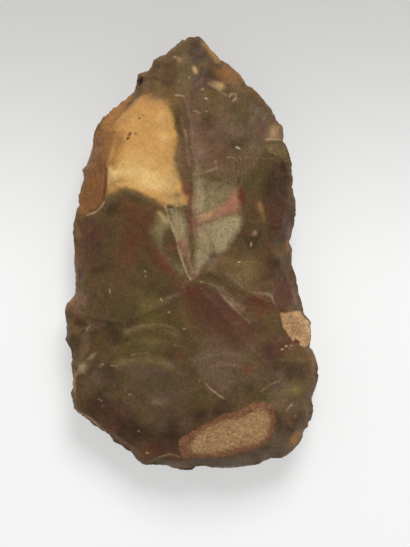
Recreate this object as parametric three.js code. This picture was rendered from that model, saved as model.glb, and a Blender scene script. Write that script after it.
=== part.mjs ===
// Flint hand axe lying on its flatter face.
// Millimetres, X to the right, Y toward the tip, Z up, origin under the middle of the outline.
// The body is a pebble-sized core struck all round: two faces that meet in one sharp wavy edge.
// Each face is the lowest of many dished scar surfaces, so the ridges fall where scars meet.
import * as THREE from 'three';

// Overall sizes, millimetres
const LENGTH = 120;
const WIDTH = 70;
const EDGE_HEIGHT = 11;
const EDGE_WAVE_LONG = 0.9;
const EDGE_WAVE_LONG_START = 12;
const EDGE_WAVE_LONG_STRETCH = 13;
const EDGE_WAVE_ACROSS = 0.5;
const EDGE_WAVE_ACROSS_STRETCH = [9, 21];
const EDGE_ZIGZAG = 0.35;

// Mesh spacings, millimetres; pairs are for the top and the underside
const EDGE_STEP = 1.9;
const FINE_EDGE_STEP = 1.2;
const GRID_STEP = [2.2, 2.6];
const RIM_STEP = [1.35, 1.7];
const RIM_WIDTH = 4.5;
const EDGE_ROW_INSET = 0.9;
const GRID_UNEVENNESS = 0.05;
const SUPER_TRIANGLE_REACH = 1000;

// Shares of a mesh spacing
const CLOSEST_SPACING = 0.52;
const SNAP_REACH = 0.55;
const RIM_GRID_START = 0.45;

// Shares of the edge row's inset that a point keeps clear of the outline
const EDGE_ROW_CLEARANCE = 0.8;
const INNER_CLEARANCE = 0.7;

// Search for a ridge: step of the slope, least slope squared, number of passes
const SNAP_PROBE = 0.02;
const SNAP_LEAST = 1e-4;
const SNAP_PASSES = 4;

// Retouch along the edge, millimetres and slopes
const RETOUCH_LENGTH = 4.5;
const RETOUCH_START = 0.15;
const RETOUCH_SLOPE = 0.75;
const RETOUCH_SLOPE_SPREAD = 0.8;
const RETOUCH_HOLLOW = 0.05;
const RETOUCH_HOLLOW_SPREAD = 0.1;
const RETOUCH_CUSP_RISE = 0.7;
const RETOUCH_OVERLAP = 0.6;
const TOP_EDGE_SLOPE = 2.2;
const UNDER_EDGE_SLOPE = 1.6;
const LEAST_SLOPE = 0.45;
const LEAST_SLOPE_REACH = 2.5;

// Corners of the outline, clockwise from the tip: x, y, bow of the arc to the next corner
const OUTLINE = [
  [-2.6, 59.1, 0.25], [2.4, 60.0, 0.15], [8.0, 53.6, 0.85], [15.1, 46.8, -0.1],
  [16.6, 45.9, 0.1], [20.9, 41.4, 0.35], [23.7, 36.9, -0.1], [25.1, 35.3, 0.35],
  [25.5, 31.0, 0.3], [27.9, 24.3, -0.1], [28.6, 20.6, -0.25], [28.3, 16.6, 0.1],
  [29.0, 13.8, 0.15], [28.6, 7.6, 0.1], [27.4, 3.3, -0.1], [28.2, 1.2, -0.1],
  [27.9, -3.2, 0.2], [29.7, -9.6, 0.0], [30.0, -11.6, 0.1], [31.3, -16.4, 0.0],
  [33.2, -19.0, 0.2], [33.1, -25.8, 0.1], [34.8, -29.8, 0.3], [35.0, -36.2, -0.1],
  [33.7, -39.8, -0.1], [34.0, -43.4, 0.4], [31.0, -50.0, 0.25], [28.9, -53.6, 0.3],
  [25.0, -56.8, -0.2], [21.5, -56.9, -0.1], [19.0, -58.1, 0.05], [16.6, -58.6, 0.5],
  [5.6, -59.4, -0.3], [1.4, -59.0, 0.0], [0.3, -59.9, 0.15], [-4.6, -59.6, -0.2],
  [-9.0, -58.5, -0.05], [-13.0, -58.7, 0.25], [-16.8, -54.9, 0.0], [-21.4, -52.0, 0.0],
  [-22.6, -50.0, 0.35], [-32.4, -43.1, 0.1], [-33.2, -39.6, 0.15], [-32.6, -36.8, 0.1],
  [-32.8, -34.6, -0.15], [-33.1, -31.0, 0.1], [-33.0, -28.0, -0.1], [-34.8, -23.9, -0.35],
  [-34.9, -16.9, 0.25], [-34.4, -13.9, 0.0], [-32.5, -11.4, -0.1], [-32.2, -8.0, 0.2],
  [-32.3, -1.0, -0.2], [-32.6, 3.6, 0.15], [-32.6, 8.0, -0.15], [-31.9, 11.0, -0.1],
  [-31.2, 15.4, 0.1], [-29.9, 20.0, 0.1], [-30.1, 23.0, -0.1], [-28.9, 24.4, -0.15],
  [-27.0, 30.2, 0.15], [-26.7, 33.5, 0.2], [-24.7, 37.1, 0.15], [-21.6, 39.9, 0.0],
  [-15.7, 44.4, -0.15], [-14.8, 49.3, 0.2], [-11.9, 50.4, -0.25], [-10.3, 53.5, 0.2],
  [-7.0, 54.9, 0.05],
];

// Large scars of the face that shows. Each runs from its striking end to its far end:
// [x, y, height above the edge], half width, sag along its middle, rise at its sides, tilt across.
const TOP_SCARS = [
  { name: 'tip facet', from: [3, 60, 1.6], to: [-3, 42, 10.4], half: 8, sag: 0.3, rise: 0.8 },
  { name: 'tip left', from: [-11, 54, 1.8], to: [-3, 46, 8.8], half: 9, sag: 0.3, rise: 1.0 },
  { name: 'tip right', from: [11.5, 52.5, 1.6], to: [1, 42, 10.8], half: 10, sag: 0.5, rise: 1 },
  { name: 'honey scar', from: [-24, 37, 3.6], to: [1.5, 21.4, 15.3], half: 17, sag: 0.8, rise: 1.2 },
  { name: 'left strip', from: [-30, 21, 1.4], to: [-22.3, 22, 7.2], half: 10, sag: 0.3, rise: 1 },
  { name: 'upper left bevel', from: [-18.5, 43, 1.4], to: [-14.5, 38, 6.8], half: 7, sag: 0.1, rise: 0.9 },
  { name: 'upper right', from: [22, 41, 2], to: [0.4, 22, 16], half: 20, sag: 1, rise: 1.4 },
  { name: 'buff notch', from: [26, 32, 2], to: [17, 33, 9], half: 6.5, sag: 0.4, rise: 1.1 },
  { name: 'right middle', from: [28.5, 17, 2], to: [13.2, 15, 12.8], half: 12, sag: 0.3, rise: 0.8,
    tilt: 0.08 },
  { name: 'speckled facet', from: [14, 12, 13], to: [0.8, 8.7, 15.8], half: 13, sag: 0.2, rise: 0.5,
    tilt: 0.05 },
  { name: 'wedge', from: [-3, 12.7, 15.2], to: [0, -7.2, 18], half: 5, sag: 0.3, rise: 0.4, tilt: 0.02 },
  { name: 'left middle', from: [-33, 3, 1.5], to: [-2, 1, 17.2], half: 16, sag: 0.6, rise: 1.8 },
  { name: 'left bay', from: [-34, -12, 1.8], to: [-24.5, -9, 7.6], half: 6, sag: 0.4, rise: 1.2 },
  { name: 'left nick', from: [-34.5, -19, 1.2], to: [-28.3, -20, 4.7], half: 3, sag: 0.2, rise: 0.8 },
  { name: 'left low', from: [-33, -27, 2], to: [-19, -23.5, 9.8], half: 5, sag: 0.6, rise: 0.9 },
  { name: 'left lowest', from: [-33, -36, 1.6], to: [-20, -33, 8.6], half: 6, sag: 0.5, rise: 1 },
  { name: 'right slope', from: [29, -1, 3], to: [6, -4, 16.6], half: 7, sag: 0.3, rise: 0.9, tilt: -0.03 },
  { name: 'maroon bay', from: [29.5, -9, 1.8], to: [22.3, -11.5, 8.6], half: 5, sag: 0.5, rise: 0.8 },
  { name: 'long channel', from: [29, -22.5, 5], to: [3, -7, 17.3], half: 4.8, sag: 0.2, rise: 1.3 },
  { name: 'cream patch', from: [33.5, -22, 2.2], to: [24, -19, 7.2], half: 5, sag: 0, rise: 0.8 },
  { name: 'right low', from: [35, -33, 2], to: [19.5, -30, 11.8], half: 10, sag: 0.7, rise: 1.4 },
  { name: 'rippled right', from: [9, -44, 11.2], to: [3, -10, 16.9], half: 12, sag: 0.6, rise: 0.9,
    tilt: 0.19 },
  { name: 'rippled left', from: [-16, -55, 1.5], to: [-6, -13, 17.2], half: 14, sag: 0.8, rise: 0.9,
    tilt: -0.2 },
  { name: 'cortex rest', from: [11, -59, 3.8], to: [6.5, -46, 10.1], half: 16, sag: 0, rise: 0.1 },
  { name: 'butt right', from: [33.5, -46, 1.8], to: [22.5, -44, 9.8], half: 9, sag: 0.4, rise: 0.8 },
  { name: 'butt corner', from: [27, -56.5, 1.4], to: [19.5, -50, 7.6], half: 7, sag: 0.3, rise: 0.8 },
];

// Large scars of the face it lies on, depth below the edge instead of height.
const UNDER_SCARS = [
  { name: 'under tip', from: [4, 60, 1.2], to: [2, 14, 11.8], half: 12, sag: 0.5, rise: 1.1 },
  { name: 'under tip left', from: [-13, 50, 1.4], to: [-4, 30, 9.2], half: 9, sag: 0.5, rise: 0.9 },
  { name: 'under tip right', from: [20, 43, 1.4], to: [5, 25, 10.6], half: 11, sag: 0.8, rise: 0.9 },
  { name: 'under left upper', from: [-29, 27, 1.4], to: [-6, 13, 12.2], half: 13, sag: 0.9, rise: 1.1 },
  { name: 'under right upper', from: [28, 21, 1.4], to: [11, 13, 10.8], half: 7, sag: 0.6, rise: 0.9 },
  { name: 'under left middle', from: [-32, 3, 1.4], to: [-13, 1, 10.8], half: 8, sag: 0.7, rise: 0.9 },
  { name: 'under right middle', from: [28, 1, 1.6], to: [8, -5, 12.2], half: 12, sag: 0.8, rise: 1.2 },
  { name: 'under left low', from: [-34, -18, 1.6], to: [-7, -16, 12.6], half: 14, sag: 1.0, rise: 1.3 },
  { name: 'under right low', from: [33, -23, 1.8], to: [13, -21, 11.6], half: 8, sag: 0.5, rise: 0.9 },
  { name: 'under left butt', from: [-29, -45, 1.4], to: [-8, -31, 11.8], half: 9, sag: 0.6, rise: 0.9 },
  { name: 'under right butt', from: [32, -47, 1.6], to: [9, -30, 12.2], half: 12, sag: 0.9, rise: 1.0 },
  { name: 'under butt', from: [-4, -59, 1.4], to: [0, -28, 12.0], half: 14, sag: 0.8, rise: 0.9 },
];

// Flint as photographed: dark olive brown, waxy
const FLINT_COLOUR = 0x5c4631;
const FLINT_ROUGHNESS = 0.42;

// Points along the outline, each with the number of the arc it belongs to
function outlinePoints(step) {
  const points = [];
  OUTLINE.forEach(([x, y, bow], number) => {
    const [nextX, nextY] = OUTLINE[(number + 1) % OUTLINE.length];
    const length = Math.hypot(nextX - x, nextY - y);
    const outX = -(nextY - y) / length;
    const outY = (nextX - x) / length;
    const parts = Math.max(1, Math.round(length / step));
    for (let part = 0; part < parts; part += 1) {
      const t = part / parts;
      const out = 4 * t * (1 - t) * bow;
      points.push({
        x: x + (nextX - x) * t + outX * out,
        y: y + (nextY - y) * t + outY * out,
        arc: number,
      });
    }
  });
  return points;
}

// A number from 0 to 1 that is always the same for the same seed
const SCATTER_STRETCH = 12.9898;
const SCATTER_SHIFT = 4.1;
const SCATTER_GAIN = 43758.5453;
function scatter(seed) {
  const value = Math.sin(seed * SCATTER_STRETCH + SCATTER_SHIFT) * SCATTER_GAIN;
  return value - Math.floor(value);
}

// Height of the middle sheet in which the edge lies
function edgeSheet(x, y) {
  const [stretchX, stretchY] = EDGE_WAVE_ACROSS_STRETCH;
  const along = EDGE_WAVE_LONG * Math.sin((y - EDGE_WAVE_LONG_START) / EDGE_WAVE_LONG_STRETCH);
  const across = EDGE_WAVE_ACROSS * Math.cos(x / stretchX + y / stretchY);
  return EDGE_HEIGHT + along + across;
}

// One dished scar surface as a function of x and y
function scarSurface({ from, to, half, sag, rise, tilt = 0 }) {
  const length = Math.hypot(to[0] - from[0], to[1] - from[1]);
  const ux = (to[0] - from[0]) / length;
  const uy = (to[1] - from[1]) / length;
  return (x, y) => {
    const t = ((x - from[0]) * ux + (y - from[1]) * uy) / length;
    const v = (y - from[1]) * ux - (x - from[0]) * uy;
    const hollow = 4 * sag * t * (1 - t);
    return from[2] + (to[2] - from[2]) * t - hollow + rise * (v / half) ** 2 + tilt * v;
  };
}

// Small retouch scars, one or more on each arc of the outline
function retouchSurfaces(faceNumber) {
  const surfaces = [];
  OUTLINE.forEach(([x, y, bow], number) => {
    const [nextX, nextY] = OUTLINE[(number + 1) % OUTLINE.length];
    const length = Math.hypot(nextX - x, nextY - y);
    const inX = (nextY - y) / length;
    const inY = -(nextX - x) / length;
    const parts = Math.max(1, Math.round(length / RETOUCH_LENGTH));
    for (let part = 0; part < parts; part += 1) {
      const t = (part + 0.5) / parts;
      const out = 4 * t * (1 - t) * bow;
      const middleX = x + (nextX - x) * t - inX * out;
      const middleY = y + (nextY - y) * t - inY * out;
      const half = 0.5 * length / parts + RETOUCH_OVERLAP;
      const slopeSeed = number * 7 + part * 3 + faceNumber * 31;
      const hollowSeed = number * 5 + part + faceNumber * 17;
      const slope = RETOUCH_SLOPE + RETOUCH_SLOPE_SPREAD * scatter(slopeSeed);
      const hollow = RETOUCH_HOLLOW + RETOUCH_HOLLOW_SPREAD * scatter(hollowSeed);
      surfaces.push((px, py) => {
        const inward = (px - middleX) * inX + (py - middleY) * inY;
        const along = (px - middleX) * inY - (py - middleY) * inX;
        const profile = RETOUCH_START + slope * inward + hollow * inward * Math.abs(inward);
        return profile + RETOUCH_CUSP_RISE * (along / half) ** 2;
      });
    }
  });
  return surfaces;
}

// Distance from a point to the outline
const fineOutline = outlinePoints(FINE_EDGE_STEP);
function distanceToOutline(x, y) {
  let best = Infinity;
  for (let i = 0; i < fineOutline.length; i += 1) {
    const a = fineOutline[i];
    const b = fineOutline[(i + 1) % fineOutline.length];
    const dx = b.x - a.x;
    const dy = b.y - a.y;
    const t = Math.min(1, Math.max(0, ((x - a.x) * dx + (y - a.y) * dy) / (dx * dx + dy * dy)));
    best = Math.min(best, (x - a.x - dx * t) ** 2 + (y - a.y - dy * t) ** 2);
  }
  return Math.sqrt(best);
}

function insideOutline(x, y) {
  let inside = false;
  for (let i = 0; i < fineOutline.length; i += 1) {
    const a = fineOutline[i];
    const b = fineOutline[(i + 1) % fineOutline.length];
    if ((a.y > y) !== (b.y > y) && x < a.x + (b.x - a.x) * (y - a.y) / (b.y - a.y)) inside = !inside;
  }
  return inside;
}

// All surfaces of one face; the lowest of them is the face
const faces = [
  { scars: TOP_SCARS, slope: TOP_EDGE_SLOPE, extra: [] },
  { scars: UNDER_SCARS, slope: UNDER_EDGE_SLOPE, extra: [edgeSheet] },
].map(({ scars, slope, extra }, number) => [
  ...scars.map(scarSurface),
  ...retouchSurfaces(number),
  ...extra,
  (x, y) => slope * distanceToOutline(x, y),
]);

function lowestTwo(surfaces, x, y) {
  let first = -1;
  let second = -1;
  const values = surfaces.map((surface) => surface(x, y));
  values.forEach((value, i) => {
    if (first < 0 || value < values[first]) {
      second = first;
      first = i;
    } else if (second < 0 || value < values[second]) {
      second = i;
    }
  });
  return { first, second, value: values[first] };
}

function reliefAt(surfaces, x, y) {
  const { value } = lowestTwo(surfaces, x, y);
  const least = LEAST_SLOPE * Math.min(distanceToOutline(x, y), LEAST_SLOPE_REACH);
  return Math.max(value, least);
}

// Move a grid point onto a nearby ridge, so that mesh edges follow the ridges
function snapToRidge(surfaces, point, reach) {
  const { first, second } = lowestTwo(surfaces, point.x, point.y);
  const gap = (x, y) => surfaces[second](x, y) - surfaces[first](x, y);
  const h = SNAP_PROBE;
  let { x, y } = point;
  for (let pass = 0; pass < SNAP_PASSES; pass += 1) {
    const gx = (gap(x + h, y) - gap(x - h, y)) / (2 * h);
    const gy = (gap(x, y + h) - gap(x, y - h)) / (2 * h);
    const size = gx * gx + gy * gy;
    if (size < SNAP_LEAST) return { ...point, ridge: false };
    const move = gap(x, y) / size;
    x -= move * gx;
    y -= move * gy;
    if (Math.hypot(x - point.x, y - point.y) > reach) return { ...point, ridge: false };
  }
  const now = lowestTwo(surfaces, x, y);
  const same = (now.first === first || now.first === second);
  return same ? { x, y, ridge: true } : { ...point, ridge: false };
}

// A hexagonal grid over the outline's box, a little uneven so that no four points share a circle
function hexagonalGrid(step) {
  const rowStep = step * Math.sqrt(3) / 2;
  const rows = Math.ceil(LENGTH / rowStep);
  const halfColumns = Math.ceil(WIDTH / 2 / step) + 1;
  const points = [];
  for (let row = 0; row <= rows; row += 1) {
    for (let column = -halfColumns; column <= halfColumns; column += 1) {
      const seed = row * 97 + column;
      points.push({
        x: (column + (row % 2) / 2) * step + GRID_UNEVENNESS * (scatter(seed) - 0.5),
        y: -LENGTH / 2 + row * rowStep + GRID_UNEVENNESS * (scatter(seed + 0.5) - 0.5),
      });
    }
  }
  return points.filter(({ x, y }) => insideOutline(x, y));
}

// Points inside the outline: a row along the edge, a fine grid near it and a wider one within
function interiorPoints(surfaces, step, rimStep) {
  const wanted = [];
  const loop = outlinePoints(EDGE_STEP);
  loop.forEach((p, i) => {
    const q = loop[(i + 1) % loop.length];
    const length = Math.hypot(q.x - p.x, q.y - p.y);
    const x = (p.x + q.x) / 2 + (q.y - p.y) / length * EDGE_ROW_INSET;
    const y = (p.y + q.y) / 2 - (q.x - p.x) / length * EDGE_ROW_INSET;
    const clear = insideOutline(x, y) && distanceToOutline(x, y) > EDGE_ROW_CLEARANCE * EDGE_ROW_INSET;
    if (clear) wanted.push({ x, y, ridge: false, gap: CLOSEST_SPACING * rimStep });
  });
  hexagonalGrid(rimStep).forEach(({ x, y }) => {
    const depth = distanceToOutline(x, y);
    if (depth < EDGE_ROW_INSET + RIM_GRID_START * rimStep || depth > RIM_WIDTH) return;
    const snapped = snapToRidge(surfaces, { x, y }, SNAP_REACH * rimStep);
    wanted.push({ ...snapped, gap: CLOSEST_SPACING * rimStep });
  });
  hexagonalGrid(step).forEach(({ x, y }) => {
    if (distanceToOutline(x, y) <= RIM_WIDTH) return;
    const snapped = snapToRidge(surfaces, { x, y }, SNAP_REACH * step);
    wanted.push({ ...snapped, gap: CLOSEST_SPACING * step });
  });
  wanted.sort((a, b) => Number(b.ridge) - Number(a.ridge));
  const kept = [];
  wanted.forEach((p) => {
    if (distanceToOutline(p.x, p.y) < INNER_CLEARANCE * EDGE_ROW_INSET) return;
    if (kept.every((k) => Math.hypot(k.x - p.x, k.y - p.y) > p.gap)) kept.push(p);
  });
  return kept;
}

// Delaunay triangles of a set of points, added one by one
function delaunay(points) {
  const big = SUPER_TRIANGLE_REACH;
  const all = [...points, { x: -big, y: -big }, { x: big, y: -big }, { x: 0, y: big }];
  const count = points.length;
  const circle = (a, b, c) => {
    const [p, q, r] = [all[a], all[b], all[c]];
    const d = 2 * (p.x * (q.y - r.y) + q.x * (r.y - p.y) + r.x * (p.y - q.y));
    const pp = p.x * p.x + p.y * p.y;
    const qq = q.x * q.x + q.y * q.y;
    const rr = r.x * r.x + r.y * r.y;
    const x = (pp * (q.y - r.y) + qq * (r.y - p.y) + rr * (p.y - q.y)) / d;
    const y = (pp * (r.x - q.x) + qq * (p.x - r.x) + rr * (q.x - p.x)) / d;
    return { a, b, c, x, y, r2: (p.x - x) ** 2 + (p.y - y) ** 2 };
  };
  let triangles = [circle(count, count + 1, count + 2)];
  for (let i = 0; i < count; i += 1) {
    const p = all[i];
    const border = new Map();
    const kept = [];
    triangles.forEach((t) => {
      if ((p.x - t.x) ** 2 + (p.y - t.y) ** 2 >= t.r2) {
        kept.push(t);
        return;
      }
      [[t.a, t.b], [t.b, t.c], [t.c, t.a]].forEach(([m, n]) => {
        if (border.has(`${n},${m}`)) border.delete(`${n},${m}`);
        else border.set(`${m},${n}`, [m, n]);
      });
    });
    border.forEach(([m, n]) => kept.push(circle(m, n, i)));
    triangles = kept;
  }
  return triangles.filter((t) => Math.max(t.a, t.b, t.c) < count).map(({ a, b, c }) => [a, b, c]);
}

// The two faces share the points of the edge
function handAxeGeometry() {
  const loop = outlinePoints(EDGE_STEP);
  const positions = [];
  loop.forEach(({ x, y, arc }, i) => {
    const corner = i === 0 || loop[i - 1].arc !== arc;
    const side = arc % 2 === 0 ? 1 : -1;
    const zigzag = corner ? 0 : side * EDGE_ZIGZAG * (0.5 + scatter(arc));
    positions.push(x, y, edgeSheet(x, y) + zigzag);
  });
  const indices = [];
  faces.forEach((surfaces, number) => {
    const inner = interiorPoints(surfaces, GRID_STEP[number], RIM_STEP[number]);
    const offset = positions.length / 3 - loop.length;
    inner.forEach(({ x, y }) => {
      const relief = reliefAt(surfaces, x, y);
      const sheet = edgeSheet(x, y);
      positions.push(x, y, number === 0 ? sheet + relief : Math.max(0, sheet - relief));
    });
    const points = [...loop, ...inner];
    delaunay(points).forEach(([a, b, c]) => {
      const x = (points[a].x + points[b].x + points[c].x) / 3;
      const y = (points[a].y + points[b].y + points[c].y) / 3;
      const edgeOnly = Math.max(a, b, c) < loop.length;
      if (edgeOnly && !insideOutline(x, y)) return;
      const corner = [a, b, c].map((i) => (i < loop.length ? i : i + offset));
      indices.push(...(number === 0 ? corner : corner.reverse()));
    });
  });
  const geometry = new THREE.BufferGeometry();
  geometry.setAttribute('position', new THREE.Float32BufferAttribute(positions, 3));
  geometry.setIndex(indices);
  geometry.computeVertexNormals();
  return geometry;
}

const handAxe = new THREE.Mesh(
  handAxeGeometry(),
  new THREE.MeshStandardMaterial({ color: FLINT_COLOUR, roughness: FLINT_ROUGHNESS, metalness: 0 }),
);
handAxe.name = 'hand_axe';

const group = new THREE.Group();
group.name = 'flint_hand_axe';
group.add(handAxe);

export default group;
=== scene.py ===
# %% [markdown]
# A hand axe is a stone tool without a handle: a lump of flint struck all round with another stone,
# so that two faces meet in one sharp wavy edge. This one lies on its flatter face and is seen from
# straight above, with its tip at the top of the picture. The frame holds the plain solid, and this
# script gives it the real surface: crisp scars, ripples, cortex and the mottled colours of flint.

# %% Load the frame
import math

import bpy
import numpy as np
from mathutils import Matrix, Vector
from mathutils.geometry import delaunay_2d_cdt


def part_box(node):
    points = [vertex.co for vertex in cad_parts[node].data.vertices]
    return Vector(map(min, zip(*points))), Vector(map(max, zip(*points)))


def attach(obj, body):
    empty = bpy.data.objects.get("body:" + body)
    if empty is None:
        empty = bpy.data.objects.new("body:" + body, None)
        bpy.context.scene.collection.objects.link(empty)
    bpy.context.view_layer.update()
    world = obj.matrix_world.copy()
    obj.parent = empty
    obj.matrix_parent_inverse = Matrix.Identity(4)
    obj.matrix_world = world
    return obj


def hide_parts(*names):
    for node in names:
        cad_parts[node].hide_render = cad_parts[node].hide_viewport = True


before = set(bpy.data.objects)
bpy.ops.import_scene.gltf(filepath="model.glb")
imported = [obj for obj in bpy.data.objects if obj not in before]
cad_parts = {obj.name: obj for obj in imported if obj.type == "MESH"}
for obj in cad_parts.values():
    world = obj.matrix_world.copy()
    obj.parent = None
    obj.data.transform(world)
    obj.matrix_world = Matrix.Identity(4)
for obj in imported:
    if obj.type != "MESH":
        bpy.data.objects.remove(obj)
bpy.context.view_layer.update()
MM = 0.001
box_low, box_high = [np.array(corner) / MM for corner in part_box("hand_axe")]
print("solid, mm:", np.round(box_low, 2), np.round(box_high, 2))

# %% [markdown]
# The camera hangs over the axe and looks straight down, as the photograph does. Its distance is a
# guess of half a metre. The scale comes from the axe itself: its length in the frame against its
# length in the picture. That gives the width of the view at the height of the edge, and with the
# distance it gives the lens.

# %% Camera
PICTURE = (410, 547)
AXE_TOP_PX, AXE_BOTTOM_PX = 36, 470
AXE_MIDDLE_PX = 191
EDGE_HEIGHT = 11.0
CAMERA_DISTANCE = 500.0
SENSOR_HEIGHT = 24.0
mm_per_px = (box_high[1] - box_low[1]) / (AXE_BOTTOM_PX - AXE_TOP_PX)
view_height = PICTURE[1] * mm_per_px
camera_x = (PICTURE[0] / 2 - AXE_MIDDLE_PX) * mm_per_px
camera_y = ((AXE_TOP_PX + AXE_BOTTOM_PX) / 2 - PICTURE[1] / 2) * mm_per_px
camera_data = bpy.data.cameras.new("overhead_camera")
camera_data.sensor_fit = "VERTICAL"
camera_data.sensor_height = SENSOR_HEIGHT
camera_data.lens = SENSOR_HEIGHT * CAMERA_DISTANCE / view_height
camera = bpy.data.objects.new("overhead_camera", camera_data)
camera.location = Vector((camera_x, camera_y, EDGE_HEIGHT + CAMERA_DISTANCE)) * MM
bpy.context.scene.collection.objects.link(camera)
bpy.context.scene.camera = camera
print("lens, mm:", round(camera_data.lens, 1), "view, mm:", round(view_height, 1))

# %% [markdown]
# The outline is a chain of shallow arcs, one for each large bite that a blow took out of the edge.
# A corner list with one bow per arc says this in few numbers, and any number of points can be
# laid along it. The corners run clockwise from the tip, in millimetres.

# %% Outline
# x, y and the bow of the arc to the next corner
OUTLINE = [
    (-2.6, 59.1, 0.25), (2.4, 60.0, 0.15), (8.0, 53.6, 0.85), (15.1, 46.8, -0.1),
    (16.6, 45.9, 0.1), (20.9, 41.4, 0.35), (23.7, 36.9, -0.1), (25.1, 35.3, 0.35),
    (25.5, 31.0, 0.3), (27.9, 24.3, -0.1), (28.6, 20.6, -0.25), (28.3, 16.6, 0.1),
    (29.0, 13.8, 0.15), (28.6, 7.6, 0.1), (27.4, 3.3, -0.1), (28.2, 1.2, -0.1),
    (27.9, -3.2, 0.2), (29.7, -9.6, 0.0), (30.0, -11.6, 0.1), (31.3, -16.4, 0.0),
    (33.2, -19.0, 0.2), (33.1, -25.8, 0.1), (34.8, -29.8, 0.3), (35.0, -36.2, -0.1),
    (33.7, -39.8, -0.1), (34.0, -43.4, 0.4), (31.0, -50.0, 0.25), (28.9, -53.6, 0.3),
    (25.0, -56.8, -0.2), (21.5, -56.9, -0.1), (19.0, -58.1, 0.05), (16.6, -58.6, 0.5),
    (5.6, -59.4, -0.3), (1.4, -59.0, 0.0), (0.3, -59.9, 0.15), (-4.6, -59.6, -0.2),
    (-9.0, -58.5, -0.05), (-13.0, -58.7, 0.25), (-16.8, -54.9, 0.0), (-21.4, -52.0, 0.0),
    (-22.6, -50.0, 0.35), (-32.4, -43.1, 0.1), (-33.2, -39.6, 0.15), (-32.6, -36.8, 0.1),
    (-32.8, -34.6, -0.15), (-33.1, -31.0, 0.1), (-33.0, -28.0, -0.1), (-34.8, -23.9, -0.35),
    (-34.9, -16.9, 0.25), (-34.4, -13.9, 0.0), (-32.5, -11.4, -0.1), (-32.2, -8.0, 0.2),
    (-32.3, -1.0, -0.2), (-32.6, 3.6, 0.15), (-32.6, 8.0, -0.15), (-31.9, 11.0, -0.1),
    (-31.2, 15.4, 0.1), (-29.9, 20.0, 0.1), (-30.1, 23.0, -0.1), (-28.9, 24.4, -0.15),
    (-27.0, 30.2, 0.15), (-26.7, 33.5, 0.2), (-24.7, 37.1, 0.15), (-21.6, 39.9, 0.0),
    (-15.7, 44.4, -0.15), (-14.8, 49.3, 0.2), (-11.9, 50.4, -0.25), (-10.3, 53.5, 0.2),
    (-7.0, 54.9, 0.05),
]


def arcs(step):
    """Each arc of the outline: number, start, unit direction, length, bow and steps along it."""
    for number, (x, y, bow) in enumerate(OUTLINE):
        next_x, next_y, _ = OUTLINE[(number + 1) % len(OUTLINE)]
        length = math.hypot(next_x - x, next_y - y)
        along = np.array([next_x - x, next_y - y]) / length
        yield number, np.array([x, y]), along, length, bow, max(1, round(length / step))


def outline_points(step):
    """Points along the outline about one step apart, and the arc that each belongs to."""
    points, numbers = [], []
    for number, start, along, length, bow, parts in arcs(step):
        outward = np.array([-along[1], along[0]])
        for part in range(parts):
            t = part / parts
            points.append(start + along * length * t + outward * 4 * t * (1 - t) * bow)
            numbers.append(number)
    return np.array(points), np.array(numbers)


print("outline corners:", len(OUTLINE))

# %% [markdown]
# Stone that splits always shows a little unevenness. A cloud function gives smooth random values
# over the plane from a fixed seed, so the result is the same each time. It is used for the bites in
# the edge and for the fine waves of the scars. A push moves points about by such clouds, so that
# ridges and the borders of colours wander.

# %% Cloud values
CLOUD_TABLE = 64


def cloud(x, y, size, seed):
    """Smooth random values from -1 to 1 with features about one size across."""
    table = np.random.default_rng(seed).uniform(-1, 1, (CLOUD_TABLE, CLOUD_TABLE))
    u, v = x / size, y / size
    i, j = np.floor(u).astype(int), np.floor(v).astype(int)
    s, t = u - i, v - j
    s, t = s * s * (3 - 2 * s), t * t * (3 - 2 * t)
    low = table[i % CLOUD_TABLE, j % CLOUD_TABLE] * (1 - s)
    low += table[(i + 1) % CLOUD_TABLE, j % CLOUD_TABLE] * s
    high = table[i % CLOUD_TABLE, (j + 1) % CLOUD_TABLE] * (1 - s)
    high += table[(i + 1) % CLOUD_TABLE, (j + 1) % CLOUD_TABLE] * s
    return low * (1 - t) + high * t


def push(x, y, reach, sizes, small_share, seed):
    """Places pushed about by up to about one reach, by clouds of two sizes."""
    large, small = sizes
    moved_x = x + reach * cloud(x, y, large, seed) + small_share * reach * cloud(x, y, small, seed + 1)
    moved_y = y + reach * cloud(x, y, large, seed + 2) + small_share * reach * cloud(x, y, small, seed + 3)
    return moved_x, moved_y


print("a cloud every 3 mm:", np.round(cloud(np.arange(0, 15, 3.0), np.zeros(5), 5.5, 1), 2))

# %% [markdown]
# The edge of a hand axe is seldom straight. Seen from the side it waves, so it lies in a wavy sheet
# between the faces. Seen from above it has small bites, where tiny flakes broke away in use. Bites
# only cut inward, and in some stretches of the edge they are deeper than in others.

# %% Edge
EDGE_STEP = 0.42
BITE_DEPTH = 0.26
BITE_LENGTH = 1.3
BITE_LEVEL = 0.65
BITTEN_STRETCH = 7
EDGE_WAVE, EDGE_TWIST = 0.9, 0.5


def edge_sheet(x, y):
    """Height of the wavy middle sheet in which the edge lies."""
    return EDGE_HEIGHT + EDGE_WAVE * np.sin((y - 12) / 13) + EDGE_TWIST * np.cos(x / 9 + y / 21)


loop, loop_arc = outline_points(EDGE_STEP)
ahead = np.roll(loop, -1, axis=0) - np.roll(loop, 1, axis=0)
inward = np.stack([ahead[:, 1], -ahead[:, 0]], axis=1)
inward /= np.linalg.norm(inward, axis=1)[:, None]
run = np.cumsum(np.linalg.norm(np.diff(loop, axis=0, prepend=loop[-1:]), axis=1))
no_side = np.zeros(len(run))
bites = BITE_LEVEL + cloud(run, no_side, BITE_LENGTH, 3)
bites = bites + 0.6 * cloud(run, no_side, 0.45 * BITE_LENGTH, 5)
bites = BITE_DEPTH * np.maximum(bites, 0) * (0.4 + np.abs(cloud(run, no_side, BITTEN_STRETCH, 4)))
loop = loop + inward * bites[:, None]
loop = np.clip(loop, box_low[:2], box_high[:2])
print("edge points:", len(loop), "deepest bite, mm:", round(float(bites.max()), 2))

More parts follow.
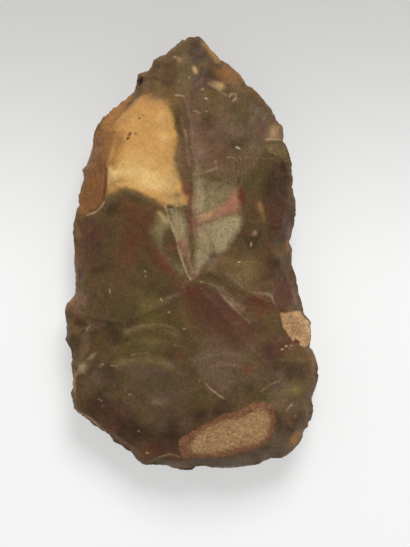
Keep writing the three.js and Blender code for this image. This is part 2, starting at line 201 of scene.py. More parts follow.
# %% [markdown]
# Each blow leaves a scar: a shallow dish that runs from the striking point on the edge to its far
# end. A dish is a quadratic surface, and where two dishes meet there is a ridge. So each face of
# the axe is simply the lowest of its dishes. The scars of this face were placed over the
# photograph, and their heights are guesses that keep the ridges where they are seen.

# %% Scars of the face that shows
# name, start and end with their heights above the edge, half width, sag along the middle,
# rise of the sides at the half width, sideways tilt
TOP_SCARS = [
    ("tip facet", (3, 60, 1.6), (-3, 42, 10.4), 8, 0.3, 0.8, 0),
    ("tip left", (-11, 54, 1.8), (-3, 46, 8.8), 9, 0.3, 1.0, 0),
    ("tip right", (11.5, 52.5, 1.6), (1, 42, 10.8), 10, 0.5, 1, 0),
    ("honey scar", (-24, 37, 3.6), (1.5, 21.4, 15.3), 17, 0.8, 1.2, 0),
    ("left strip", (-30, 21, 1.4), (-22.3, 22, 7.2), 10, 0.3, 1, 0),
    ("upper left bevel", (-18.5, 43, 1.4), (-14.5, 38, 6.8), 7, 0.1, 0.9, 0),
    ("upper right", (22, 41, 2), (0.4, 22, 16), 20, 1, 1.4, 0),
    ("buff notch", (26, 32, 2), (17, 33, 9), 6.5, 0.4, 1.1, 0),
    ("right middle", (28.5, 17, 2), (13.2, 15, 12.8), 12, 0.3, 0.8, 0.08),
    ("speckled facet", (14, 12, 13), (0.8, 8.7, 15.8), 13, 0.2, 0.5, 0.05),
    ("wedge", (-3, 12.7, 15.2), (0, -7.2, 18), 5, 0.3, 0.4, 0.02),
    ("left middle", (-33, 3, 1.5), (-2, 1, 17.2), 16, 0.6, 1.8, 0),
    ("left bay", (-34, -12, 1.8), (-24.5, -9, 7.6), 6, 0.4, 1.2, 0),
    ("left nick", (-34.5, -19, 1.2), (-28.3, -20, 4.7), 3, 0.2, 0.8, 0),
    ("left low", (-33, -27, 2), (-19, -23.5, 9.8), 5, 0.6, 0.9, 0),
    ("left lowest", (-33, -36, 1.6), (-20, -33, 8.6), 6, 0.5, 1, 0),
    ("right slope", (29, -1, 3), (6, -4, 16.6), 7, 0.3, 0.9, -0.03),
    ("maroon bay", (29.5, -9, 1.8), (22.3, -11.5, 8.6), 5, 0.5, 0.8, 0),
    ("long channel", (29, -22.5, 5), (3, -7, 17.3), 4.8, 0.2, 1.3, 0),
    ("cream patch", (33.5, -22, 2.2), (24, -19, 7.2), 5, 0, 0.8, 0),
    ("right low", (35, -33, 2), (19.5, -30, 11.8), 10, 0.7, 1.4, 0),
    ("rippled right", (9, -44, 11.2), (3, -10, 16.9), 12, 0.6, 0.9, 0.19),
    ("rippled left", (-16, -55, 1.5), (-6, -13, 17.2), 14, 0.8, 0.9, -0.2),
    ("cortex rest", (11, -59, 3.8), (6.5, -46, 10.1), 16, 0, 0.1, 0),
    ("butt right", (33.5, -46, 1.8), (22.5, -44, 9.8), 9, 0.4, 0.8, 0),
    ("butt corner", (27, -56.5, 1.4), (19.5, -50, 7.6), 7, 0.3, 0.8, 0),
]
print("scars above:", len(TOP_SCARS))

# %% [markdown]
# Nothing shows the face that the axe lies on. It is flaked in the same way, with fewer and larger
# scars. Where they would reach lower than the table, a small flat cuts them off, so the axe lies
# still.

# %% Scars of the face it lies on
UNDER_SCARS = [
    ("under tip", (4, 60, 1.2), (2, 14, 11.8), 12, 0.5, 1.1, 0),
    ("under tip left", (-13, 50, 1.4), (-4, 30, 9.2), 9, 0.5, 0.9, 0),
    ("under tip right", (20, 43, 1.4), (5, 25, 10.6), 11, 0.8, 0.9, 0),
    ("under left upper", (-29, 27, 1.4), (-6, 13, 12.2), 13, 0.9, 1.1, 0),
    ("under right upper", (28, 21, 1.4), (11, 13, 10.8), 7, 0.6, 0.9, 0),
    ("under left middle", (-32, 3, 1.4), (-13, 1, 10.8), 8, 0.7, 0.9, 0),
    ("under right middle", (28, 1, 1.6), (8, -5, 12.2), 12, 0.8, 1.2, 0),
    ("under left low", (-34, -18, 1.6), (-7, -16, 12.6), 14, 1.0, 1.3, 0),
    ("under right low", (33, -23, 1.8), (13, -21, 11.6), 8, 0.5, 0.9, 0),
    ("under left butt", (-29, -45, 1.4), (-8, -31, 11.8), 9, 0.6, 0.9, 0),
    ("under right butt", (32, -47, 1.6), (9, -30, 12.2), 12, 0.9, 1.0, 0),
    ("under butt", (-4, -59, 1.4), (0, -28, 12.0), 14, 0.8, 0.9, 0),
]
print("scars below:", len(UNDER_SCARS))

# %% [markdown]
# Along the edge the maker took off many small flakes to straighten it. They are too many to list,
# so each arc of the outline gets its own small dishes, whose slopes are scattered by a seed: a row
# of retouch and a row of finer nibbles. All dishes, large and small, are rows of the same ten
# numbers, so one function can work out any of them for any number of points at once.

# %% Dishes as rows of numbers
RETOUCH_LENGTH = 4.5
NIBBLE_LENGTH = 1.7
DISH_OVERLAP = 0.6
LEAST_HOLLOW, HOLLOW_SPREAD = 0.05, 0.1


def scatter(seed):
    """A number from 0 to 1 that is always the same for the same seed."""
    value = np.sin(seed * 12.9898 + 4.1) * 43758.5453
    return value - np.floor(value)


def scar_row(start, end, half, sag, rise, tilt):
    """Origin x, y, direction x, y, height, slope, curve, signed curve, side curve and tilt."""
    run_x, run_y = end[0] - start[0], end[1] - start[1]
    length = math.hypot(run_x, run_y)
    slope = (end[2] - start[2] - 4 * sag) / length
    curve = 4 * sag / length**2
    return (start[0], start[1], run_x / length, run_y / length,
            start[2], slope, curve, 0, rise / half**2, tilt)


def retouch_rows(face, spacing, start_height, least_slope, spread, cusp):
    """Small dishes all along the outline, each square to its own arc."""
    rows = []
    for number, start, along, length, bow, parts in arcs(spacing):
        into = np.array([along[1], -along[0]])
        for part in range(parts):
            t = (part + 0.5) / parts
            out = 4 * t * (1 - t) * bow
            middle = start + along * length * t - into * out
            half = 0.5 * length / parts + DISH_OVERLAP
            slope = least_slope + spread * scatter(number * 7 + part * 3 + face * 31)
            hollow = LEAST_HOLLOW + HOLLOW_SPREAD * scatter(number * 5 + part + face * 17)
            rows.append((*middle, *into, start_height, slope, 0, hollow, cusp / half**2, 0))
    return rows


def dish_rows(scars, face):
    """The listed scars of a face, then its retouch and its nibbles."""
    rows = [scar_row(*scar[1:]) for scar in scars]
    rows += retouch_rows(face, RETOUCH_LENGTH, start_height=0.15, least_slope=0.75, spread=0.8, cusp=0.7)
    rows += retouch_rows(face + 2, NIBBLE_LENGTH, start_height=0.05, least_slope=1.1, spread=1.3, cusp=0.9)
    return np.array(rows)


def dish_height(rows, x, y):
    """Height of each row's dish; rows may be one row or one row per point."""
    ox, oy, ux, uy, height, slope, curve, signed_curve, side, tilt = np.moveaxis(rows, -1, 0)
    along = (x - ox) * ux + (y - oy) * uy
    across = (y - oy) * ux - (x - ox) * uy
    profile = height + slope * along + curve * along**2 + signed_curve * along * np.abs(along)
    return profile + side * across**2 + tilt * across


top_rows = dish_rows(TOP_SCARS, 0)
under_rows = dish_rows(UNDER_SCARS, 1)
print("dishes:", len(top_rows), "above and", len(under_rows), "below")

# %% [markdown]
# For each point the script needs the lowest dish, which gives the height, and the second lowest,
# because the gap between the two tells how far away the nearest ridge is. Points are bent about a
# little before they are looked up, so that ridges wander instead of running dead straight.

# %% Lowest two dishes
BEND_REACH = 0.5
BEND_SIZE = 5.5


def bend(x, y):
    """Places bent about a little."""
    return push(x, y, BEND_REACH, (BEND_SIZE, 0.4 * BEND_SIZE), 0.3, 11)


def lowest_two(rows, x, y):
    """Index and height of the lowest dish and of the next one at each point."""
    x, y = bend(x, y)
    first = np.full(len(x), -1)
    second = np.full(len(x), -1)
    low = np.full(len(x), np.inf)
    next_low = np.full(len(x), np.inf)
    for number, row in enumerate(rows):
        height = dish_height(row, x, y)
        best = height < low
        better = ~best & (height < next_low)
        second = np.where(best, first, np.where(better, number, second))
        next_low = np.where(best, low, np.where(better, height, next_low))
        first = np.where(best, number, first)
        low = np.where(best, height, low)
    return first, second, low, next_low


middle_first, _, middle_low, _ = lowest_two(top_rows, np.zeros(1), np.zeros(1))
print("lowest at the middle:", TOP_SCARS[middle_first[0]][0], round(float(middle_low[0]), 2), "mm up")

# %% [markdown]
# Two more measures are used over and over: how far a point lies from a chain of straight pieces,
# such as the edge or the border of a patch, and whether it lies inside a closed one.

# %% Distance to a chain and inside a chain
def distance_to_chain(x, y, chain, closed=True):
    """Distance from points to a chain of straight pieces."""
    ends = np.roll(chain, -1, axis=0) if closed else chain[1:]
    starts = chain if closed else chain[:-1]
    best = np.full(len(x), np.inf)
    for (ax, ay), (bx, by) in zip(starts, ends):
        dx, dy = bx - ax, by - ay
        t = np.clip(((x - ax) * dx + (y - ay) * dy) / (dx * dx + dy * dy), 0, 1)
        best = np.minimum(best, (x - ax - dx * t) ** 2 + (y - ay - dy * t) ** 2)
    return np.sqrt(best)


def inside_chain(x, y, chain):
    """True for points inside a closed chain."""
    inside = np.zeros(len(x), bool)
    for (ax, ay), (bx, by) in zip(chain, np.roll(chain, -1, axis=0)):
        if ay != by:
            crosses = (ay > y) != (by > y)
            inside ^= crosses & (x < ax + (bx - ax) * (y - ay) / (by - ay))
    return inside


from_edge = distance_to_chain(np.zeros(1), np.zeros(1), loop)
print("middle of the axe to its edge, mm:", round(float(from_edge[0]), 1))

# %% [markdown]
# The points of the surface start as a fine hexagonal grid. Points near a ridge are moved onto it,
# because a ridge that runs along mesh edges stays crisp, while one that crosses triangles gets a
# jagged crest. Delaunay triangulation then joins the points of each face to the shared edge loop.

# %% Points of a face
TOP_STEP = 0.38
UNDER_STEP = 0.62
SNAP_PASSES = 3
GRID_SCATTER = 0.04
SNAP_REACH = 0.5
LEAST_SPACING = 0.55
EDGE_CLEARANCE = 0.6


def hexagonal_grid(step):
    """Points of a hexagonal grid over the solid's box, each a hair off its place."""
    row_step = step * math.sqrt(3) / 2
    rows = np.arange(math.ceil(box_low[1] / row_step), math.ceil(box_high[1] / row_step))
    columns = np.arange(math.ceil(box_low[0] / step) - 1, math.ceil(box_high[0] / step) + 1)
    column, row = np.meshgrid(columns, rows)
    x = (column + (row % 2) / 2) * step
    x = x + GRID_SCATTER * step * scatter(column * 1.7 + row * 3.1)
    y = row * row_step
    return x.ravel(), y.ravel()


def snap_to_ridges(rows, x, y, reach):
    """Move points onto the line where their two lowest dishes are equally high."""
    first, second, _, _ = lowest_two(rows, x, y)
    sx, sy = x.copy(), y.copy()
    probe = 0.02

    def gap(px, py):
        bx, by = bend(px, py)
        return dish_height(rows[second], bx, by) - dish_height(rows[first], bx, by)

    for _ in range(SNAP_PASSES):
        gx = (gap(sx + probe, sy) - gap(sx - probe, sy)) / (2 * probe)
        gy = (gap(sx, sy + probe) - gap(sx, sy - probe)) / (2 * probe)
        move = gap(sx, sy) / np.maximum(gx * gx + gy * gy, 1e-3)
        sx -= move * gx
        sy -= move * gy
    near = np.hypot(sx - x, sy - y) < reach
    return np.where(near, sx, x), np.where(near, sy, y), near


def spread_out(x, y, ridge, cell):
    """Keep one point in each cell of a square grid, ridge points first."""
    order = np.argsort(~ridge, kind="stable")
    for shift in (0, 0.5):
        cells = np.stack([x[order] / cell + shift, y[order] / cell + shift], axis=1)
        _, keep = np.unique(np.floor(cells).astype(int), axis=0, return_index=True)
        order = order[np.sort(keep)]
    return x[order], y[order]


def face_points(rows, step):
    """Grid points inside the edge loop, snapped to the ridges and kept apart."""
    x, y = hexagonal_grid(step)
    inside = inside_chain(x, y, loop)
    x, y = x[inside], y[inside]
    x, y, ridge = snap_to_ridges(rows, x, y, SNAP_REACH * step)
    clear = inside_chain(x, y, loop) & (distance_to_chain(x, y, loop) > EDGE_CLEARANCE * EDGE_STEP)
    x, y, ridge = x[clear], y[clear], ridge[clear]
    return spread_out(x, y, ridge, LEAST_SPACING * step)


top_x, top_y = face_points(top_rows, TOP_STEP)
under_x, under_y = face_points(under_rows, UNDER_STEP)
print("points:", len(top_x), "above and", len(under_x), "below")

# %% [markdown]
# Some scars carry ripples, rings round the striking point where the crack slowed down. Each ring is
# a low swelling with its radius, height and width. Small pits are shallow bowls in the surface. The
# cortex is the rough outer rind of the flint lump, and one large patch of it is left at the butt.

# %% Ripples, pits and the cortex
# radius, height, width
RIPPLES = {
    "rippled left": [
        (35.6, 0.16, 1.5), (31.4, 0.12, 1.2), (27.6, 0.08, 0.6), (24.6, 0.18, 1.8), (16.0, 0.12, 2.2),
    ],
    "rippled right": [
        (16.0, 0.14, 1.1), (13.4, 0.1, 0.8), (19.6, 0.12, 1.4), (24.0, 0.1, 1.6), (29.0, 0.1, 1.6),
    ],
    "honey scar": [(14.0, 0.1, 2.2), (21.0, 0.1, 1.8), (26.0, 0.08, 1.4)],
    "upper right": [(12.0, 0.08, 1.8), (18.0, 0.1, 2.0), (24.0, 0.08, 1.6)],
    "left middle": [(14.0, 0.1, 2.0), (19.5, 0.12, 1.8), (25.0, 0.1, 2.0)],
    "right slope": [(8.0, 0.08, 1.4), (13.5, 0.1, 1.6), (18.5, 0.08, 1.2)],
    "right low": [(7.0, 0.1, 1.2), (11.0, 0.1, 1.4), (15.0, 0.08, 1.2)],
    "left bay": [(4.0, 0.08, 0.7), (6.6, 0.08, 0.7), (9.0, 0.07, 0.6)],
    "maroon bay": [(3.0, 0.07, 0.6), (5.0, 0.08, 0.6), (7.2, 0.07, 0.7)],
    "under left low": [(10.0, 0.14, 1.8), (16.0, 0.14, 1.8), (22.0, 0.1, 1.8)],
    "under butt": [(12.0, 0.14, 1.8), (18.0, 0.14, 1.8), (24.0, 0.1, 1.8)],
    "under right middle": [(9.0, 0.1, 1.6), (14.0, 0.1, 1.8)],
}
# x, y, half size across, half size along, depth
PITS = [
    (-14.1, 47.4, 0.9, 1.3, 1.2), (11.5, 42.4, 0.9, 0.9, 0.35), (16.2, 3.7, 0.4, 0.5, 0.3),
    (-31.4, -32.0, 0.5, 0.5, 0.3), (8.5, 51.5, 0.5, 0.4, 0.2), (-17.4, 31.2, 0.5, 0.3, 0.2),
    (-14, 36.5, 0.3, 0.4, 0.15), (-14.8, -48.0, 0.5, 0.5, 0.2), (28.5, -24.6, 1.4, 0.7, 0.35),
    (26.0, -26.2, 1.2, 0.5, 0.3), (-5.5, 12.0, 1.0, 0.5, 0.4), (-27.0, 11.4, 2.2, 0.5, 0.25),
]
CORTEX = [
    (-3.2, -52), (-2.4, -50.4), (0.5, -48.2), (5, -45.6), (9, -43.6), (12.5, -42.7), (17, -40.2),
    (19.8, -40.2), (22.3, -41.3), (23.2, -45.5), (22.8, -48), (20.5, -52), (15.5, -54), (9, -55.7),
    (2.5, -56.5), (0, -57), (-2.2, -56), (-3, -54),
]
print("rippled scars:", len(RIPPLES), "pits:", len(PITS))

# %% [markdown]
# The height of a point is the lowest dish, with the ridges worn a little round. The ripples fade out
# toward the ridges, so that neighbouring scars still meet. Waves of four sizes make the scars a
# little uneven. Near the edge the height is held between two slopes, so that no dish starts below
# the edge and the edge stays sharp.

# %% Relief of a face
RIDGE_WEAR = 0.2
RIDGE_PROBE = 0.05
LEAST_CROSSING = 0.05
CALM_REACH = (0.1, 2.5)
RIPPLE_WANDER, WANDER_SIZE = 0.7, 8
RIPPLE_CHANGE, CHANGE_SIZE = 0.6, 5
WAVES = [(7.0, 0.2), (3.3, 0.11), (1.6, 0.06), (0.9, 0.045)]
LEAST_SLOPE = 0.45
LEAST_SLOPE_REACH = 2.5


def smooth(value, low, high):
    """Rises smoothly from 0 at low to 1 at high."""
    t = np.clip((value - low) / (high - low), 0, 1)
    return t * t * (3 - 2 * t)


def rings_of(name, row, x, y, wander):
    """Height of a scar's ripples round its striking point."""
    distance = np.hypot(x - row[0], y - row[1]) + wander
    return sum(height * np.exp(-((distance - radius) / width) ** 2)
               for radius, height, width in RIPPLES[name])


def relief(rows, scars, x, y, edge_slope, seed):
    """Relief in mm from the middle sheet, and the distances to the nearest ridge and to the edge."""
    first, second, low, next_low = lowest_two(rows, x, y)
    gap = next_low - low
    slopes = []
    for step_x, step_y in ((RIDGE_PROBE, 0), (0, RIDGE_PROBE)):
        bx, by = bend(x + step_x, y + step_y)
        gap_beside = dish_height(rows[second], bx, by) - dish_height(rows[first], bx, by)
        slopes.append((gap_beside - gap) / RIDGE_PROBE)
    ridge_distance = gap / np.maximum(np.hypot(*slopes), LEAST_CROSSING)
    height = low - np.maximum(RIDGE_WEAR - gap, 0) ** 2 / (4 * RIDGE_WEAR)
    bx, by = bend(x, y)
    wander = RIPPLE_WANDER * cloud(x, y, WANDER_SIZE, seed)
    strength = 1 + RIPPLE_CHANGE * cloud(x, y, CHANGE_SIZE, seed + 1)
    strength = smooth(ridge_distance, *CALM_REACH) * strength
    for number, (name, *_) in enumerate(scars):
        if name in RIPPLES:
            rings = rings_of(name, rows[number], bx, by, wander)
            height += np.where(first == number, strength * rings, 0)
    height += sum(wave * cloud(x, y, size, seed + 2) for size, wave in WAVES)
    depth = distance_to_chain(x, y, loop)
    least = LEAST_SLOPE * np.minimum(depth, LEAST_SLOPE_REACH)
    return np.maximum(np.minimum(height, edge_slope * depth), least), ridge_distance, depth


# %% [markdown]
# The pits and the cortex are added to the face that shows only. The cortex is worn down a little,
# and its grains are two clouds of small bumps.

# %% Relief of both faces
TOP_EDGE_SLOPE = 2.2
UNDER_EDGE_SLOPE = 1.6
CORTEX_BORDER = (-0.3, 0.5)
CORTEX_DEPTH = 0.08
LEAST_RELIEF = 0.02


def signed_inside(x, y, corners):
    """Distance to a closed chain, positive inside it."""
    chain = np.array(corners, float)
    distance = distance_to_chain(x, y, chain)
    return np.where(inside_chain(x, y, chain), distance, -distance)


top_relief, top_ridge, top_depth = relief(top_rows, TOP_SCARS, top_x, top_y, TOP_EDGE_SLOPE, 20)
under_relief, under_ridge, under_depth = relief(
    under_rows, UNDER_SCARS, under_x, under_y, UNDER_EDGE_SLOPE, 40)
for pit_x, pit_y, half_x, half_y, pit_depth in PITS:
    bowl = 1 - ((top_x - pit_x) / half_x) ** 2 - ((top_y - pit_y) / half_y) ** 2
    top_relief -= pit_depth * smooth(bowl, -0.6, 1)
on_cortex = smooth(signed_inside(top_x, top_y, CORTEX), *CORTEX_BORDER)
grain = 0.08 * cloud(top_x, top_y, 1.0, 60) + 0.06 * cloud(top_x, top_y, 0.6, 61)
top_relief += on_cortex * (grain - CORTEX_DEPTH)
top_relief = np.maximum(top_relief, LEAST_RELIEF)
print("highest relief, mm:", round(float(top_relief.max()), 2))

# %% [markdown]
# The relief is laid on the wavy sheet, upward for the face that shows and downward for the other.
# The edge itself zigzags a little, because the maker struck it from one side and then from the
# other, so neighbouring arcs lie higher and lower in turn and meet half way at their corners.

# %% Heights in the frame
ZIGZAG = 0.35
SMOOTHING_PASSES = 2
loop_z = edge_sheet(loop[:, 0], loop[:, 1])
side = np.where(loop_arc % 2 == 0, 1, -1)
corner = np.roll(loop_arc, 1) != loop_arc
zigzag = side * ZIGZAG * (0.5 + scatter(loop_arc))
loop_z = loop_z + np.where(corner, 0, zigzag)
for _ in range(SMOOTHING_PASSES):
    loop_z = (np.roll(loop_z, 1) + 2 * loop_z + np.roll(loop_z, -1)) / 4
top_z = np.minimum(edge_sheet(top_x, top_y) + top_relief, box_high[2])
under_z = np.maximum(edge_sheet(under_x, under_y) - under_relief, 0)
print("top, mm:", round(float(top_z.max()), 2), "of", round(float(box_high[2]), 2))

# %% [markdown]
# The two faces share the points of the edge loop, so the stone is one closed body. Each face is
# joined up on its own by Delaunay triangles, with the loop as its border. The triangles of the
# lower face are turned over, so that they face down and out.

# %% Mesh
def face_triangles(x, y):
    """Delaunay triangles of the loop and a face's points, wound to face up."""
    points = np.concatenate([loop, np.stack([x, y], axis=1)])
    border = [(i, (i + 1) % len(loop)) for i in range(len(loop))]
    made = delaunay_2d_cdt([Vector(p) for p in points], border, [], 0, 1e-7, False)
    if len(made[0]) != len(points):
        raise ValueError(f"{len(made[0])} points instead of {len(points)}")
    corners = np.array(made[2])
    middle = points[corners].mean(axis=1)
    spans_loop = corners.max(axis=1) < len(loop)
    outside = spans_loop & ~inside_chain(middle[:, 0], middle[:, 1], loop)
    return corners[~outside]


top_triangles = face_triangles(top_x, top_y)
under_triangles = face_triangles(under_x, under_y)
top_count, loop_count = len(top_x), len(loop)
under_triangles = np.where(under_triangles >= loop_count, under_triangles + top_count, under_triangles)
triangles = np.concatenate([top_triangles, under_triangles[:, ::-1]])
places = np.concatenate([
    np.column_stack([loop, loop_z]),
    np.column_stack([top_x, top_y, top_z]),
    np.column_stack([under_x, under_y, under_z]),
])
mesh = bpy.data.meshes.new("hand_axe_stone")
mesh.from_pydata((places * MM).tolist(), [], triangles.tolist())
mesh.polygons.foreach_set("use_smooth", [True] * len(mesh.polygons))
mesh.update()
stone = bpy.data.objects.new("hand_axe_stone", mesh)
bpy.context.scene.collection.objects.link(stone)
print("triangles:", len(triangles), "top:", len(top_triangles))

# %% [markdown]
# Flint owes its colours to traces of minerals: iron turns it honey, rust or wine red, and the outer
# rind weathers to a dull buff. Painting such stains as an image would fix their sharpness. Here each
# mineral is a field, a number for each point of the mesh that is 1 inside its patches and falls to 0
# across their border. The material turns fields into colour and roughens their borders. The palette
# names each mineral once, and its order matters: a later mineral lies over the earlier ones. Not all
# of it is mineral: shade is painted shade, and some patches of the other colours are painted
# highlights, painted sheen and painted shade, as said where they are listed. Some minerals also
# leave a faint trace everywhere, so that no part of the stone has one flat colour.

# %% Palette
PALETTE = {
    "ground": "#5c4930", "olive": "#5e5028", "moss": "#4a401f", "umber": "#372617",
    "mauve": "#6e5340", "khaki": "#7a673f", "maroon": "#4f3125", "slate": "#5f4e3d",
    "honey": "#b98b4e", "pinktan": "#ab7d4a", "straw": "#ceab6e", "shade": "#6a5030",
    "tan": "#8f6538", "russet": "#7f5530", "rust": "#643a26", "sage": "#8e7f5c",
    "pebble": "#8f7c5e", "pink": "#94654f", "wine": "#582b20", "amber": "#9a6f3c",
    "cream": "#ab865f", "rind": "#785239", "buff": "#9f7e56", "chalk": "#b59f7e",
    "black": "#1c140e",
}
STAINS = [name for name in PALETTE if name != "ground"]
OTHER_FIELDS = ["streaky", "speckled"]
TRACES = {"olive": 0.3, "umber": 0.28, "maroon": 0.22, "russet": 0.1, "mauve": 0.12}


def linear(code):
    """A hex colour as the linear values that shaders use."""
    values = np.array([int(code[i:i + 2], 16) for i in (1, 3, 5)]) / 255
    low = values <= 0.04045
    return (*np.where(low, values / 12.92, ((values + 0.055) / 1.055) ** 2.4), 1.0)


print("minerals:", len(PALETTE))
